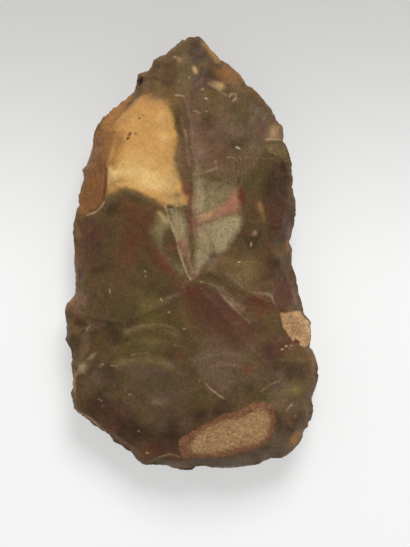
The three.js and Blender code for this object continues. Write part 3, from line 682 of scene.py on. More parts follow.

# %% [markdown]
# Three brushes put down the patches. A blob is an ellipse, a stroke is a line with a width and an
# area has corners. Each row ends with the width of its soft border and its strength, and may name
# the scar that it stays within. All places are in millimetres, read from the photograph, and
# patches that touch are left to overlap, as stains do. The dark minerals come first.

# %% Patches of the face that shows: dark blobs
# mineral: x, y, half length, half width, turn in degrees, soft border, strength, scar if any
BLOBS = {
    "moss": [
        (18, 20, 5, 4.5, 90, 5, 0.7), (-20, -15, 6, 4, 0, 5, 0.5), (-25, -25, 3, 3.5, 0, 3, 0.6),
        (-8, -57, 2.2, 0.9, 0, 1, 0.8), (-25.5, -45.3, 4, 1.0, -35, 2, 0.5),
        (-12, -4.5, 2, 1.5, 0, 2, 0.5), (20, -38, 3, 1.5, 20, 2, 0.5), (22, 13, 2, 3, 0, 2, 0.3),
    ],
    "olive": [
        (-9, 45.5, 3.5, 2.2, 20, 3, 0.8), (12.5, 36, 6, 5.5, 80, 6, 0.6), (-9, -17.5, 8, 6, 10, 6, 0.7),
        (-13, -12, 5, 5, 0, 5, 0.5), (-15, -26, 6, 6, 0, 5, 0.5), (-8.3, 7.5, 3.5, 2.2, 70, 3, 0.8),
        (1, -20, 5.5, 2, 80, 3, 0.5), (26, -37, 5, 2.5, 0, 4, 0.6), (26, -52.5, 5, 2.8, -20, 3, 0.9),
        (27, -29, 3, 1.5, 0, 2, 0.4), (-4, 50, 4, 4, 0, 4, 0.4), (-27, -29.5, 2, 1, 30, 1.5, 0.6),
        (11, 48, 3, 2, 0, 3, 0.3),
    ],
    "khaki": [
        (-8.3, 8, 4.4, 2.0, 70, 3, 0.75), (14, -4.6, 6, 3, -20, 4, 0.6),
        (19, -8.6, 3, 1.4, -10, 3, 0.4), (-9, -24, 6, 2.2, 0, 3, 0.3), (27, -37, 4, 1.6, 10, 3, 0.5),
        (-12, -13.5, 5, 4, 0, 5, 0.12), (22, 28.3, 4, 1.4, 5, 2.5, 0.5), (9.5, -3, 3.5, 2, -10, 3, 0.4),
        (-20, 16.5, 4, 1.6, 10, 3, 0.6), (-9, 45.5, 3, 2, 20, 3, 0.5), (14, -12, 5, 1.4, -30, 2, 0.35),
        (-25, 5, 5, 4, 90, 5, 0.2),
    ],
    "umber": [
        (-17, 12.5, 8, 3.0, 0, 4, 0.6), (-18, -47, 13, 6, -35, 8, 0.9), (-8, -51, 9, 6, 0, 6, 0.8),
        (-22, -41, 6, 4, -20, 4, 0.6), (3, -43.5, 8, 2.6, 12, 4, 0.85), (24.5, 20, 5, 2.8, 90, 4, 0.6),
        (-30.2, -19.4, 2.4, 1.6, -35, 1.2, 0.9), (28, -32.5, 4, 2.2, 0, 3, 0.5),
        # The first patch on the next line, the dark line right of the honey scar, is painted shade.
        (-2.0, 28, 7, 0.9, 100, 1.6, 0.8), (-25, -4.8, 4, 1.6, 10, 2.5, 0.5),
        # The first patch on the next line, beside the rind, is painted shadow.
        (24.3, -47, 4, 0.7, 90, 1.2, 0.6), (25.3, 24, 1.8, 2.2, 0, 1.5, 0.7),
        (-29, -36, 2, 4, 0, 3, 0.4), (-20, -23.6, 4.2, 3, 0, 2, 0.6),
        (-27, -21.7, 2.5, 1.3, -10, 1.5, 0.4), (23.8, 15, 12, 4.2, 92, 4, 1),
        (23, -5, 5, 3, 90, 3, 0.7), (21.5, -27, 6, 3, 0, 3, 0.75), (25, -33, 6, 3.5, 0, 4, 0.75),
        (-25, -36, 8, 6, 0, 6, 0.7), (14, -30, 12, 12, 0, 9, 0.35), (16, 8, 3, 8, 0, 3, 0.5),
        (12, 34, 9, 9, 0, 8, 0.5), (20, -12, 5, 4, 0, 4, 0.5), (1, 55.2, 3.6, 2.6, 80, 3, 1),
        (2.5, 46, 4, 3, 60, 4, 0.95), (6, 34, 5, 5, 90, 5, 0.7), (-21, -43, 8, 4, -20, 4, 1),
        (25, 20, 3, 6, 0, 3, 0.5),
    ],
    "mauve": [
        (2, 28.5, 9, 4.5, 98, 8, 0.75), (-30, -12.5, 3, 2.4, 30, 3, 0.95),
        (-29, -7.5, 2.5, 3, 0, 3, 0.3), (-31.3, -15.5, 3, 1.2, -35, 1.5, 0.6),
        # The next five mauve patches, across the rippled scars, are painted sheen and painted highlights on
        # the ripple crests.
        (8, -28.4, 8, 1.2, 4, 2, 0.8), (7, -32, 8, 2, 0, 3, 0.5), (-8.5, -40.5, 5, 1.8, 10, 4, 0.7),
        (-12, -32, 8, 1.6, -4, 3, 0.5), (8, -29.5, 9, 4.5, 5, 5, 0.5), (5, -22, 5, 3, -30, 4, 0.4),
        # The first and the last patch on the next line are pale bands on the bevels at the butt: painted
        # light.
        (-18, -52.6, 5, 0.9, -38, 1, 0.8), (29, -44, 4, 3, 0, 4, 0.4), (20, -56.5, 5, 0.9, 8, 0.8, 0.9),
        (-12.3, 46, 1.5, 1.8, 0, 1.5, 0.7), (5, -35, 6, 2, -20, 3, 0.4),
        (-29.3, -25.4, 4.2, 1.6, 80, 1.2, 0.75), (-29.5, -3, 7, 1.6, 90, 2, 0.5),
        (-9, 4, 1.6, 3, 0, 3, 0.4), (-17, 43, 2.5, 0.8, 40, 0.8, 0.6), (8, -2.3, 3, 1.4, 5, 1.5, 0.4),
    ],
    "maroon": [
        (8, -17, 9, 6.5, -40, 6, 0.8), (14, -22, 8, 5, -10, 5, 0.7), (26, -11, 5, 2.6, 80, 2, 0.85),
        (22, -7, 5, 2.5, 90, 3, 0.5), (-27.5, -1, 4, 4, 0, 4, 0.6), (-25, 5, 6, 3.5, 90, 4, 0.4),
        (26, 9, 5, 1.8, 90, 2, 0.6), (23, 16, 3.5, 2.5, 90, 3, 0.6), (17.5, 41, 3, 1.8, -40, 2, 0.6),
        (19.2, 35.3, 2.5, 1.4, 90, 2, 1), (-8, -53, 4, 3, 0, 3, 0.5), (22, -26.5, 4, 2.5, 10, 2.5, 0.6),
        (10, -58.6, 5, 0.8, 0, 0.8, 0.7), (-30, -6, 3, 3, 10, 3, 0.5), (-27.5, 3, 9, 3.6, 90, 3, 0.75),
        (17, -13.3, 4.5, 1.3, -10, 1.2, 0.6), (24, 10, 10, 3.5, 92, 4, 0.45), (22, -2, 3, 3, 0, 3, 0.4),
        (13.6, 12, 1.6, 1.4, 90, 1.6, 0.5), (21, -24, 6, 4, 10, 4, 0.6), (-27, -10, 4, 5, 0, 4, 0.4),
    ],
    "slate": [
        (8, -31, 14, 7, 0, 7, 0.5), (-11, -35.5, 11, 6.5, 0, 6, 0.45), (23, -37, 12, 6, 0, 6, 0.45),
        (24, -53, 9, 5, 30, 5, 0.6), (12, 37, 9, 8, 0, 8, 0.3), (-24, -36, 6, 6, 0, 5, 0.35),
        (16, -57, 9, 1.6, 8, 1.5, 0.8), (1.6, 55, 3, 2, 80, 3, 0.35), (-8, -46, 9, 4, 0, 6, 0.4),
    ],
    # shade is no mineral: these blobs are painted shade that darkens the honey scar, mostly toward its
    # borders.
    "shade": [
        (-5, 41, 3, 1.6, 120, 3, 0.8), (-9, 43, 3.5, 1.4, 10, 3, 0.7), (-18, 16.6, 3, 1.4, 15, 2, 0.5),
        (-19, 19.4, 2.4, 1.2, 10, 2, 0.35), (-14, 33.5, 5, 3.4, 30, 5, 0.22),
        (-4.6, 15.6, 3, 1.6, 0, 3, 0.3), (-13, 41.5, 3, 1.2, 20, 3, 0.3),
        (-16, 33.4, 2.4, 1.2, 40, 2, 0.2),
    ],
    "black": [
        # The first four black spots lie in pits and are painted shade.
        (-14.1, 47.4, 1.3, 0.75, 70, 0.6, 1), (16.3, 3.8, 0.4, 0.3, 0, 0.5, 0.5),
        (-14.8, -48, 0.5, 0.3, 45, 0.4, 0.6), (-5.2, 12.1, 0.8, 0.3, 0, 0.5, 0.6),
        (26, 23, 1.6, 2, 0, 2, 0.45), (24.4, 14.6, 9, 2.6, 92, 3, 0.28),
        (20, -26.4, 4, 1.6, 10, 3, 0.2), (-20, -42.4, 6, 2, -20, 4, 0.22),
        (-29.6, -21.6, 0.9, 0.4, 30, 0.5, 0.7),
    ],
}
print("dark blobs:", sum(len(rows) for rows in BLOBS.values()))

# %% [markdown]
# Iron turned parts of the stone red or tan. Rust and wine red lie in small spots and bands, russet
# follows the edge, and the tan ones shade the honey scar.

# %% Patches of the face that shows: red and tan blobs
BLOBS.update({
    "rust": [
        (-16, 5, 7, 6, 10, 8, 0.6), (20.5, -16, 3, 6, 20, 4, 0.45), (-15, -2, 3, 1.5, 20, 2, 0.5),
        (-1.3, 17.5, 2.2, 1.1, 110, 1.2, 0.8), (-3.6, 15.5, 0.8, 0.7, 0, 0.8, 0.6),
        (15.6, -31.3, 2, 1.4, 0, 2.5, 0.5), (20, -23, 4, 2.4, 0, 4, 0.35),
        (-3.5, -25.6, 1.8, 0.7, 0, 1, 0.5), (-14, 36.5, 0.5, 0.35, 60, 0.4, 0.9),
        (-13, 37.3, 0.35, 0.3, 0, 0.4, 0.7), (-17.1, 31.1, 0.5, 0.35, 40, 0.4, 1),
        (-16.6, 32.3, 0.8, 0.4, 60, 0.5, 0.8), (-15, 32.3, 0.4, 0.3, 0, 0.4, 0.7),
        (-17.4, 40.9, 0.9, 0.4, 50, 0.5, 0.9), (8.6, 51.4, 0.5, 0.4, 0, 0.5, 0.8),
        (24, 6, 2.5, 1, 90, 1.5, 0.4),
    ],
    "wine": [
        (-4.6, 1.8, 1.6, 1.1, 20, 2.0, 0.65), (14, 14.8, 2.4, 1.2, 100, 1.3, 0.95),
        (14, 12.2, 1.4, 0.8, 90, 1.4, 0.4), (23.3, 36.8, 1.5, 0.6, -45, 0.6, 0.8),
        (22, -28.6, 3, 1.4, 5, 2.5, 0.45), (13.5, 27.4, 1.8, 0.7, 15, 1.4, 0.5),
        (0.3, -10.5, 2.5, 2, 0, 2, 0.5), (-9.5, -53.5, 2.4, 1.6, 0, 3, 0.35),
        (1.2, -13, 1.5, 1.2, 0, 1.5, 0.5), (28.8, -24.2, 1.2, 0.45, -20, 0.4, 0.85),
        (27.2, -23.4, 0.5, 0.4, 0, 0.4, 0.7), (26.6, -24.8, 0.7, 0.35, 30, 0.4, 0.7),
        (25.2, -25.6, 0.6, 0.3, 0, 0.3, 0.6), (-31.4, -32.1, 0.45, 0.45, 0, 0.3, 0.9),
        (-34, -23.8, 0.8, 0.5, 0, 0.5, 0.6), (-4.2, -25.9, 0.8, 0.4, 0, 0.5, 0.6),
    ],
    "russet": [
        (10.8, 48.6, 4.4, 2.8, -45, 3.5, 0.75), (-12.5, 50.5, 3.5, 0.9, 45, 0.8, 0.7),
        (-31.8, -5, 7, 0.7, 92, 1, 0.8), (26.8, 4, 4, 0.6, 88, 1.2, 0.5),
        (-29.2, -24.6, 2.6, 1.0, 82, 1.2, 0.35), (33.9, -31, 4.5, 0.6, 92, 1.4, 0.4),
        (-33.4, -14.3, 2, 0.9, 60, 1, 0.6), (32, -43, 3, 1, 80, 2, 0.3),
        (-31.5, 6, 4, 0.8, 90, 1.5, 0.5), (17.5, 43.5, 3, 1, -45, 1, 0.5),
        (-16, 12.6, 7, 2.2, 0, 4, 0.45),
    ],
    "tan": [
        (-21, 38.2, 4.5, 1.8, 40, 1.5, 0.9), (-28.6, 19, 5, 0.8, 80, 2, 0.65),
        (-17.5, 42.2, 2.5, 1.0, 45, 1.5, 0.8), (-22.5, 34.2, 3, 1.6, 15, 2, 0.85),
    ],
    "pinktan": [
        (-10, 41, 5, 2.4, 0, 3, 0.95), (-17.5, 37.5, 4, 2, 40, 3, 0.8), (-6.5, 36, 4, 1.6, 95, 3, 0.5),
    ],
    # Amber near the thin edge is partly colour and partly painted light shining through the stone.
    "amber": [(28.6, -51.2, 2.4, 1.0, 52, 2.4, 0.65), (-31.9, -37, 4.5, 0.45, 92, 0.6, 0.8)],
    "pink": [
        (-4.8, 1.2, 1.6, 1.2, 20, 1.8, 0.5), (3.8, 9.4, 2.2, 1.6, 20, 2.2, 0.5),
        (17.4, 5.6, 0.7, 0.6, 0, 0.5, 0.6),
    ],
})
print("dark, red and tan blobs:", sum(len(rows) for rows in BLOBS.values()))

# %% [markdown]
# The pale patches are the most mixed: straw where the honey scar is lightest, grey-green sage on the
# speckled facet and the wedge, buff on the rind, and tiny chips of chalk where the surface was
# knocked.

# %% Patches of the face that shows: pale blobs
BLOBS.update({
    "straw": [
        (-12, 24, 6, 3, -10, 5, 0.5), (-7.5, 33, 5, 1.3, 95, 3, 0.45), (-6.5, 20, 2, 3, 30, 3, 0.3),
        (-10.5, 17.8, 3.6, 2.0, -25, 3, 1), (-22.3, 21.4, 1.2, 0.9, 20, 1, 0.5),
        (7.5, 45.5, 1.5, 1, -20, 1, 0.35),
    ],
    "sage": [
        (2.6, 14.5, 7, 2.2, 90, 3, 0.65, "speckled facet"),
        (7, 13.5, 5, 5, 90, 4, 0.42, "speckled facet"), (-3.2, 6.6, 6, 2.2, 100, 2.5, 0.75, "wedge"),
        (-3.5, 14, 3, 1.4, 150, 2.4, 0.6), (-1.5, 17, 2.5, 1.2, 60, 2, 0.4),
        (-4.6, 19.6, 2.4, 2.6, 0, 3.4, 0.5), (-2.6, 15.6, 2.2, 2.4, 0, 3, 0.6),
        (-8, 5.6, 3.5, 2, 70, 3, 0.5), (-4.0, 23, 4, 1.3, 95, 2.5, 0.35), (-5.5, 17, 3, 2, 0, 3, 0.35),
        (3.2, 44.4, 0.5, 0.3, 0, 0.5, 0.5), (21.5, 28.8, 4.5, 1.2, 5, 3, 0.25),
    ],
    "pebble": [
        (2, 14.5, 6, 1.4, 92, 2.5, 0.5, "speckled facet"),
        (9.5, 4.5, 4, 4, 0, 4, 0.7, "speckled facet"), (17.1, 5.3, 0.9, 0.6, 40, 1.0, 0.6),
        (-4, 58, 4, 1.0, 40, 1.5, 0.5), (1.8, -1.5, 2.2, 1.2, 60, 2, 0.35),
        (4.4, 5, 2.2, 3, 90, 2.5, 0.6), (0.5, -5, 2.5, 1.0, 100, 1.5, 0.5),
        # The second patch on the next line is painted sheen.
        (-29.6, -31.6, 1.5, 1.2, 30, 1.8, 0.8), (-9, -40.3, 2, 0.9, 10, 1.5, 0.35),
        (-26.8, -28.4, 1.4, 0.4, 50, 0.6, 0.5),
    ],
    "buff": [(28.4, -19.6, 3, 2.2, -40, 2.4, 0.7), (26.4, -18, 1.2, 1.0, 0, 1.2, 0.3)],
    "rind": [
        (29, -21.4, 2.4, 1.2, -20, 1.6, 0.55), (31.8, -24.6, 1.2, 0.8, 60, 1, 0.4),
        (25.4, -17, 1, 0.8, 0, 1, 0.35),
    ],
    "cream": [
        (4.6, 9.8, 1.8, 0.8, 25, 1.6, 0.75), (1, 50, 1.3, 0.6, 110, 0.9, 0.7),
        (-3.2, 53, 1.1, 0.5, 140, 0.9, 0.5), (-4.4, 53.8, 0.5, 0.25, 0, 0.3, 0.8),
        (-0.5, 47.8, 0.4, 0.35, 0, 0.4, 0.5), (7.3, 45.6, 1.7, 0.8, -20, 1.6, 0.45),
        (-30.2, -31.0, 0.7, 0.4, 40, 0.7, 0.6), (-29.6, -32.4, 0.5, 0.35, 100, 0.5, 0.6),
        (-31.5, -33.6, 0.8, 0.4, 80, 0.6, 0.5),
    ],
    "chalk": [
        (4.2, 41.8, 0.55, 0.3, -20, 0.3, 0.8), (4.1, 43, 0.5, 0.25, 0, 0.4, 0.4),
        (13, -2.6, 0.5, 0.25, 10, 0.3, 1), (4.4, 38.3, 0.5, 0.25, 0, 0.3, 0.5),
        (5.8, 38, 0.3, 0.25, 0, 0.3, 0.5), (6.7, 24.5, 0.3, 0.4, 0, 0.3, 0.5),
        (-16.8, -38.8, 0.4, 0.35, 0, 0.3, 0.7), (-14.3, -48.8, 0.3, 0.3, 0, 0.3, 0.7),
        (-12, -55, 0.4, 0.3, 0, 0.3, 0.6), (-12.3, -5.1, 0.3, 0.3, 0, 0.3, 0.6),
        (-12.2, -6.4, 0.25, 0.25, 0, 0.3, 0.6), (-21, -36.3, 0.4, 0.35, 0, 0.5, 0.35),
        (-7.7, -12.7, 0.25, 0.5, 40, 0.3, 0.5), (-5.8, -16, 0.3, 0.25, 0, 0.3, 0.6),
        (-1.7, -20.5, 0.4, 0.2, 0, 0.3, 0.8), (-22.1, -10.3, 0.9, 0.2, 100, 0.3, 0.9),
        (10.7, -48.8, 0.35, 0.35, 0, 0.4, 0.7), (16.3, 2.2, 0.6, 0.2, 80, 0.3, 0.5),
        (28, -23.7, 0.5, 0.25, -30, 0.3, 0.8), (26, -25.5, 0.4, 0.3, 10, 0.3, 0.8),
        (25, -26.3, 0.5, 0.25, 20, 0.3, 0.6), (27, -26.1, 0.35, 0.2, 0, 0.3, 0.6),
        (32, -20.6, 0.8, 1.8, 10, 1.6, 0.5), (27.6, -25.4, 0.5, 0.25, 0, 0.3, 0.5),
        (3, -8, 0.4, 0.25, 0, 0.3, 0.6), (2.3, -34.5, 0.5, 0.4, 70, 0.4, 0.4),
    ],
})
print("blobs of all colours:", sum(len(rows) for rows in BLOBS.values()))

# %% [markdown]
# Two fields of the same kind are no minerals. One says where the stone is streaky and the other
# where it is speckled, and the material uses them to raise or lower these effects.

# %% Streaky and speckled parts
BLOBS.update({
    "streaky": [
        (-26.5, 21, 12, 4, 88, 2, 1), (-2, 4, 10, 4, 95, 2, 1, "wedge"), (26, -11, 6, 3, 80, 2, 0.9),
        (-28, 1, 12, 5, 90, 2, 1), (27, 8, 14, 2, 92, 2, 0.9), (12, -11, 9, 3, -40, 2, 0.7),
        (8, -33, 9, 5, 0, 4, 0.5), (16.5, 21.6, 8, 4.4, 0, 2, 1),
    ],
    "speckled": [
        (6, 9, 14, 10, 90, 2, 1, "speckled facet"), (-2, 6, 7, 3, 95, 2, 0.6, "wedge"),
        (-12, 28, 14, 9, 100, 6, 0.15, "honey scar"),
    ],
})
print("streaky:", len(BLOBS["streaky"]), "speckled:", len(BLOBS["speckled"]))

# %% [markdown]
# Thin lines follow the ridges: a pale line that is partly a bruised crest and partly a painted
# highlight, and a dark line of painted shade below it where a scar turns away from the light. Others
# are bands across a scar: some are colour, and the pale ones on the rippled scars are painted
# highlights on the crests of the ripples.

# %% Patches of the face that shows: strokes
# mineral: points of the line, width, soft border, strength
STROKES = {
    "wine": [([(-11.3, -1.4), (-7, -5), (-2.5, -10.8)], 2.2, 3.2, 0.5)],
    "rust": [
        ([(-12.5, 4), (-10, 0.2), (-6.3, -4.4), (-1.4, -8.8)], 2.6, 2.4, 0.65),
        ([(0.5, 14), (0.1, 9), (0.2, 5)], 0.8, 1.0, 0.7), ([(-2.7, -27.6), (0.3, -32.5)], 1.2, 1, 0.7),
        ([(-23, 23), (-23.3, 17.5), (-24.2, 14.5)], 0.9, 0.7, 0.8),
        ([(12.6, 22), (13.6, 17.5)], 0.7, 0.6, 0.5),
    ],
    # Many umber lines are painted shade: beside the ridges, at the step near y 25 and along the lower
    # border of the rind.
    "umber": [
        ([(12.2, 24.5), (12.8, 20), (13.9, 15.5)], 0.5, 0.5, 0.7),
        ([(10.2, 0.2), (12.6, 3.6), (13.6, 7)], 0.5, 0.9, 0.5),
        ([(2.8, -8.8), (7.5, -11.8), (12, -16.3), (18, -21.5)], 0.9, 1.0, 0.6),
        ([(22.5, -52.3), (18, -54.2), (12, -55.8), (4, -57.2)], 0.9, 1, 0.7),
        ([(27.6, 22), (28.3, 14), (28.2, 7)], 0.6, 0.8, 0.7),
        ([(-11, -16.2), (-7, -14.3), (-3, -12.6)], 0.8, 1.2, 0.6),
        ([(4, -6.2), (8, -6.6), (10.4, -8.2), (12.2, -9.8), (16, -12.2),
          (21.6, -13.2)], 0.8, 1.6, 0.6),
        ([(11.6, 25), (11.4, 21)], 0.3, 0.6, 0.4), ([(13.2, 24.8), (13.4, 21)], 0.3, 0.6, 0.4),
        ([(10, 24.6), (17, 24.8), (25, 25)], 0.9, 1.4, 0.5),
        ([(-18.5, -20.8), (-18, -24), (-18.6, -27.5)], 0.8, 1.6, 0.45),
        ([(-27, -20.8), (-23, -20.8), (-19.5, -22)], 0.6, 1.2, 0.5),
        ([(-3.5, 41), (-2.4, 36), (-1.4, 31), (-0.6, 26)], 1.0, 2.0, 0.55),
        ([(-2, -21), (-1, -26), (-0.6, -30)], 0.8, 1.8, 0.4),
        ([(-25.5, 8.8), (-29, 8.2)], 0.8, 1.6, 0.4),
        ([(14.4, 11), (13.6, 5), (10.6, -0.2), (6.6, -1)], 0.7, 1.4, 0.6),
        ([(10.5, 25.2), (18, 25.3), (25.5, 25.6)], 0.6, 0.8, 0.4),
    ],
    # These khaki bands across the rippled left scar are painted highlights on its ripple crests.
    "khaki": [
        ([(-17.5, -21.6), (-13.5, -20.4), (-9, -20.2), (-4, -22.2)], 1.4, 2.4, 0.6),
        ([(-19.5, -30.2), (-15, -29.2), (-9, -29.6), (-4, -32)], 2.0, 3.0, 0.65),
        ([(-18, -25), (-12, -24.2), (-6, -25.4)], 0.8, 2.4, 0.3),
    ],
    "russet": [([(-31.3, 9.8), (-26, 10.8), (-24, 13)], 0.8, 0.8, 0.6)],
    # These shade lines are painted shade along the borders of the honey scar and the ridge beside it.
    "shade": [
        ([(-19, 17.2), (-16.6, 17.4), (-12, 14.8), (-7, 12.8)], 0.8, 2.2, 0.7),
        ([(-25.6, 33.4), (-21, 33.6)], 0.3, 1.0, 0.4), ([(-2.4, 36.5), (-2.0, 32)], 0.6, 2.2, 0.7),
        ([(-2.8, 29.6), (-3.2, 26), (-2.6, 21.5)], 2.4, 3.4, 0.85),
        ([(-6.4, 29), (-6.2, 25)], 0.8, 3, 0.35),
    ],
    # This moss band, just below a ridge on the right, is painted shade.
    "moss": [([(4.6, -5.8), (9, -7.4), (12.5, -10.4), (15.5, -13.2), (18, -15)], 1.8, 1.6, 0.8)],
    "sage": [
        ([(-9.6, 5), (-8, 1.2), (-5.4, -2.4), (-2.4, -5.6)], 1.4, 2.4, 0.4),
        ([(-8.6, 13.4), (-6, 13.4), (-3.4, 14.2), (-2.2, 16)], 0.8, 1.8, 0.4),
    ],
    "straw": [
        ([(-22, 16.9), (-19.4, 18.6), (-16.4, 18.8), (-12, 16.2), (-8, 14.2),
          (-4.4, 14)], 1.0, 1.6, 0.5),
        ([(-20.5, 21.8), (-15, 22.4), (-10, 20.5), (-7.5, 17.5)], 4.6, 4.5, 0.85),
        ([(-8.6, 11), (-6.3, 8.3)], 0.9, 1.2, 0.5),
    ],
    # Many pebble lines are painted highlights: on ridge crests and the lip of the step near y 25, partly
    # bruised stone as well, and on the ripple crests of the rippled scars. The line along the lower left
    # edge is painted light on its bevel.
    "pebble": [
        ([(-6.9, 12.7), (-5.5, 8.6), (-4.1, 4.1), (-3, 0.8), (-1.9, -3.3), (-1.1, -5.5),
          (0, -7.2)], 0.5, 0.5, 1),
        ([(4.5, -7.6), (8.2, -9.6), (10.6, -12.5), (13.4, -15), (16.6, -18)], 2.0, 2.0, 0.3),
        ([(4.6, -3.6), (8.4, -3.8), (12, -6.2), (15.5, -9)], 1.6, 2.4, 0.35),
        ([(4.8, 46), (6.5, 45.2), (9.4, 43.2)], 0.5, 0.9, 0.6),
        ([(17, -10.8), (21.5, -11.4)], 0.6, 2.0, 0.4),
        ([(-1.4, 33), (-1, 28), (-0.2, 23)], 0.5, 0.9, 0.5),
        ([(-24.2, -7.5), (-26.0, -13.5), (-28, -19), (-28.8, -21)], 0.4, 0.9, 0.3),
        ([(-32, -43.3), (-28, -45.3), (-23.5, -49)], 0.5, 0.5, 0.8),
        ([(10, 25.8), (12, 25.4)], 0.4, 0.5, 0.7),
        ([(15, 25.9), (20, 25.7), (24, 26.2)], 0.3, 0.5, 0.4),
        ([(20.5, 31), (24.5, 31.1)], 0.5, 0.5, 0.9),
        ([(0.6, 20.8), (4, 21.4), (7, 22.8)], 0.5, 0.8, 0.6),
        ([(-16, -27.8), (-14, -27.2), (-11.5, -27)], 0.4, 0.5, 0.7),
        ([(4.6, -1.4), (2.4, -4.0), (0.6, -7)], 0.5, 1.2, 0.65),
        ([(1.6, 1), (0.6, -3), (-0.2, -6.6)], 0.5, 1.2, 0.6),
        ([(7.4, -1.6), (4.6, -2.6), (2.2, -5.6)], 0.4, 1.4, 0.5),
        ([(0.8, 4), (-0.2, 0), (-0.9, -4)], 0.4, 1.0, 0.5),
        ([(5, -4.4), (8.6, -4.9), (10.8, -6.4), (12.7, -8.1), (16.3, -10.5),
          (21.8, -11.5)], 0.6, 1.4, 0.6),
        ([(2.5, -7.5), (6.9, -9.3), (8.6, -11.6), (11.9, -15.1), (16, -19)], 0.5, 1.2, 0.55),
        ([(-11.3, -14.8), (-7.2, -12.9), (-3.9, -11.5), (-1.4, -10.6)], 0.5, 2.2, 0.3),
        ([(-17, -21), (-13.5, -19.8), (-9, -19.3), (-5, -20.2), (-3, -21.4)], 0.35, 1.1, 0.5),
        ([(-17, -24.4), (-12, -23.2), (-7, -23.6)], 0.3, 1.2, 0.3),
        ([(-19, -30), (-15, -28.8), (-10, -28.8), (-5, -30.4)], 0.6, 1.6, 0.35),
        ([(1, -29.2), (5, -27.9), (10, -27.2), (16, -27.2)], 0.4, 1.2, 0.5),
        ([(2, -31.8), (7, -30.6), (12, -30.4)], 0.3, 1.2, 0.35),
        ([(25.2, -6.9), (23, -9.7), (22.1, -11.6), (22.6, -13.5), (23.5, -15.2)], 0.35, 0.5, 0.5),
        ([(-10.5, -57), (-8.5, -55.9), (-6, -55.1), (-3, -55.8)], 0.3, 0.8, 0.5),
        ([(-3.5, -58.6), (0, -59)], 0.5, 0.4, 0.6),
        ([(17, 39), (18.3, 37.8), (20.3, 36.8)], 0.3, 0.5, 0.5),
    ],
    "pink": [
        ([(12, 13.6), (9, 12), (5.5, 9.8), (2.6, 8.5)], 1.6, 2.6, 0.8),
        ([(-2.4, 2.5), (0.3, -5)], 2.0, 2.6, 0.5), ([(-4.6, 10.5), (-3.4, 5)], 0.8, 2, 0.3),
        ([(0.6, 15), (0.6, 6)], 1.0, 1.8, 0.3), ([(28.5, -5), (28, -10), (28.8, -14)], 0.5, 0.9, 0.35),
    ],
    # Amber near the thin edge is partly colour and partly painted light shining through the stone.
    "amber": [
        ([(3.8, 57.8), (5.2, 56.2), (7.2, 53.6)], 1.2, 2.4, 0.8),
        ([(18.6, 13.4), (19.3, 11.6)], 1.2, 1.4, 0.5), ([(19.2, 12), (19.8, 9)], 0.7, 1.4, 0.5),
        ([(11, 51.6), (14.5, 47.5)], 0.9, 1, 0.4),
    ],
    "cream": [
        ([(-28.7, 10.4), (-26, 11.4), (-24.6, 12.6), (-23.7, 13.8)], 0.5, 0.4, 0.9),
        ([(10.5, 42.6), (11, 43.5), (12.2, 43.3), (12.4, 42.2), (11.5, 41.5)], 0.5, 0.6, 0.7),
    ],
    "chalk": [
        ([(12.4, 28.6), (13.4, 28.1)], 0.35, 0.4, 0.7), ([(22.6, 27.5), (23.4, 26.9)], 0.25, 0.3, 0.7),
        ([(-4.2, 42.6), (-1.8, 42.3)], 0.4, 0.5, 0.5), ([(0.6, 38.2), (2.6, 37.9)], 0.3, 0.4, 0.4),
        ([(-25.5, -40), (-24.3, -40.6)], 0.25, 0.3, 0.8),
        ([(2.5, -34), (5.5, -36.8), (9, -39.4)], 0.25, 0.6, 0.4),
        ([(19, -37.5), (21, -35.8), (24.5, -34.6)], 0.3, 0.8, 0.4),
        ([(26, -43), (27.5, -41.4)], 0.4, 0.7, 0.45), ([(-4.4, -24.9), (-2.3, -25.1)], 0.3, 0.7, 0.5),
        ([(-24.8, -31.2), (-24, -30.4)], 0.3, 0.3, 0.6),
        ([(-21.6, -30.8), (-20, -30.9)], 0.3, 0.4, 0.6),
        ([(-28.4, -29.2), (-27, -27.8)], 0.3, 0.5, 0.4), ([(12.2, 25.2), (12.9, 24)], 0.25, 0.3, 0.5),
        ([(13.2, 25.8), (13.9, 24.8)], 0.2, 0.3, 0.5),
        ([(-28.6, -20.9), (-27.6, -19.8)], 0.3, 0.6, 0.5),
    ],
    "black": [([(1.6, 18.5), (1.2, 12), (1.4, 6)], 0.25, 0.4, 0.3)],
}
print("strokes:", sum(len(rows) for rows in STROKES.values()))

# %% [markdown]
# The largest patches have borders that bend too much for an ellipse, such as the honey scar, the
# cortex at the butt and the cream patch at the right edge, so they are drawn corner by corner.

# %% Patches of the face that shows: areas
CREAM_PATCH = [
    (24.2, -16), (27, -16.3), (30, -16.3), (31.2, -18), (32.8, -19), (33.1, -21), (33.1, -23),
    (32.5, -25), (31, -25.8), (29.8, -25.2), (30, -24), (28.2, -23.3), (27, -23), (26, -21.5),
    (25, -20.5), (24.8, -18.8),
]
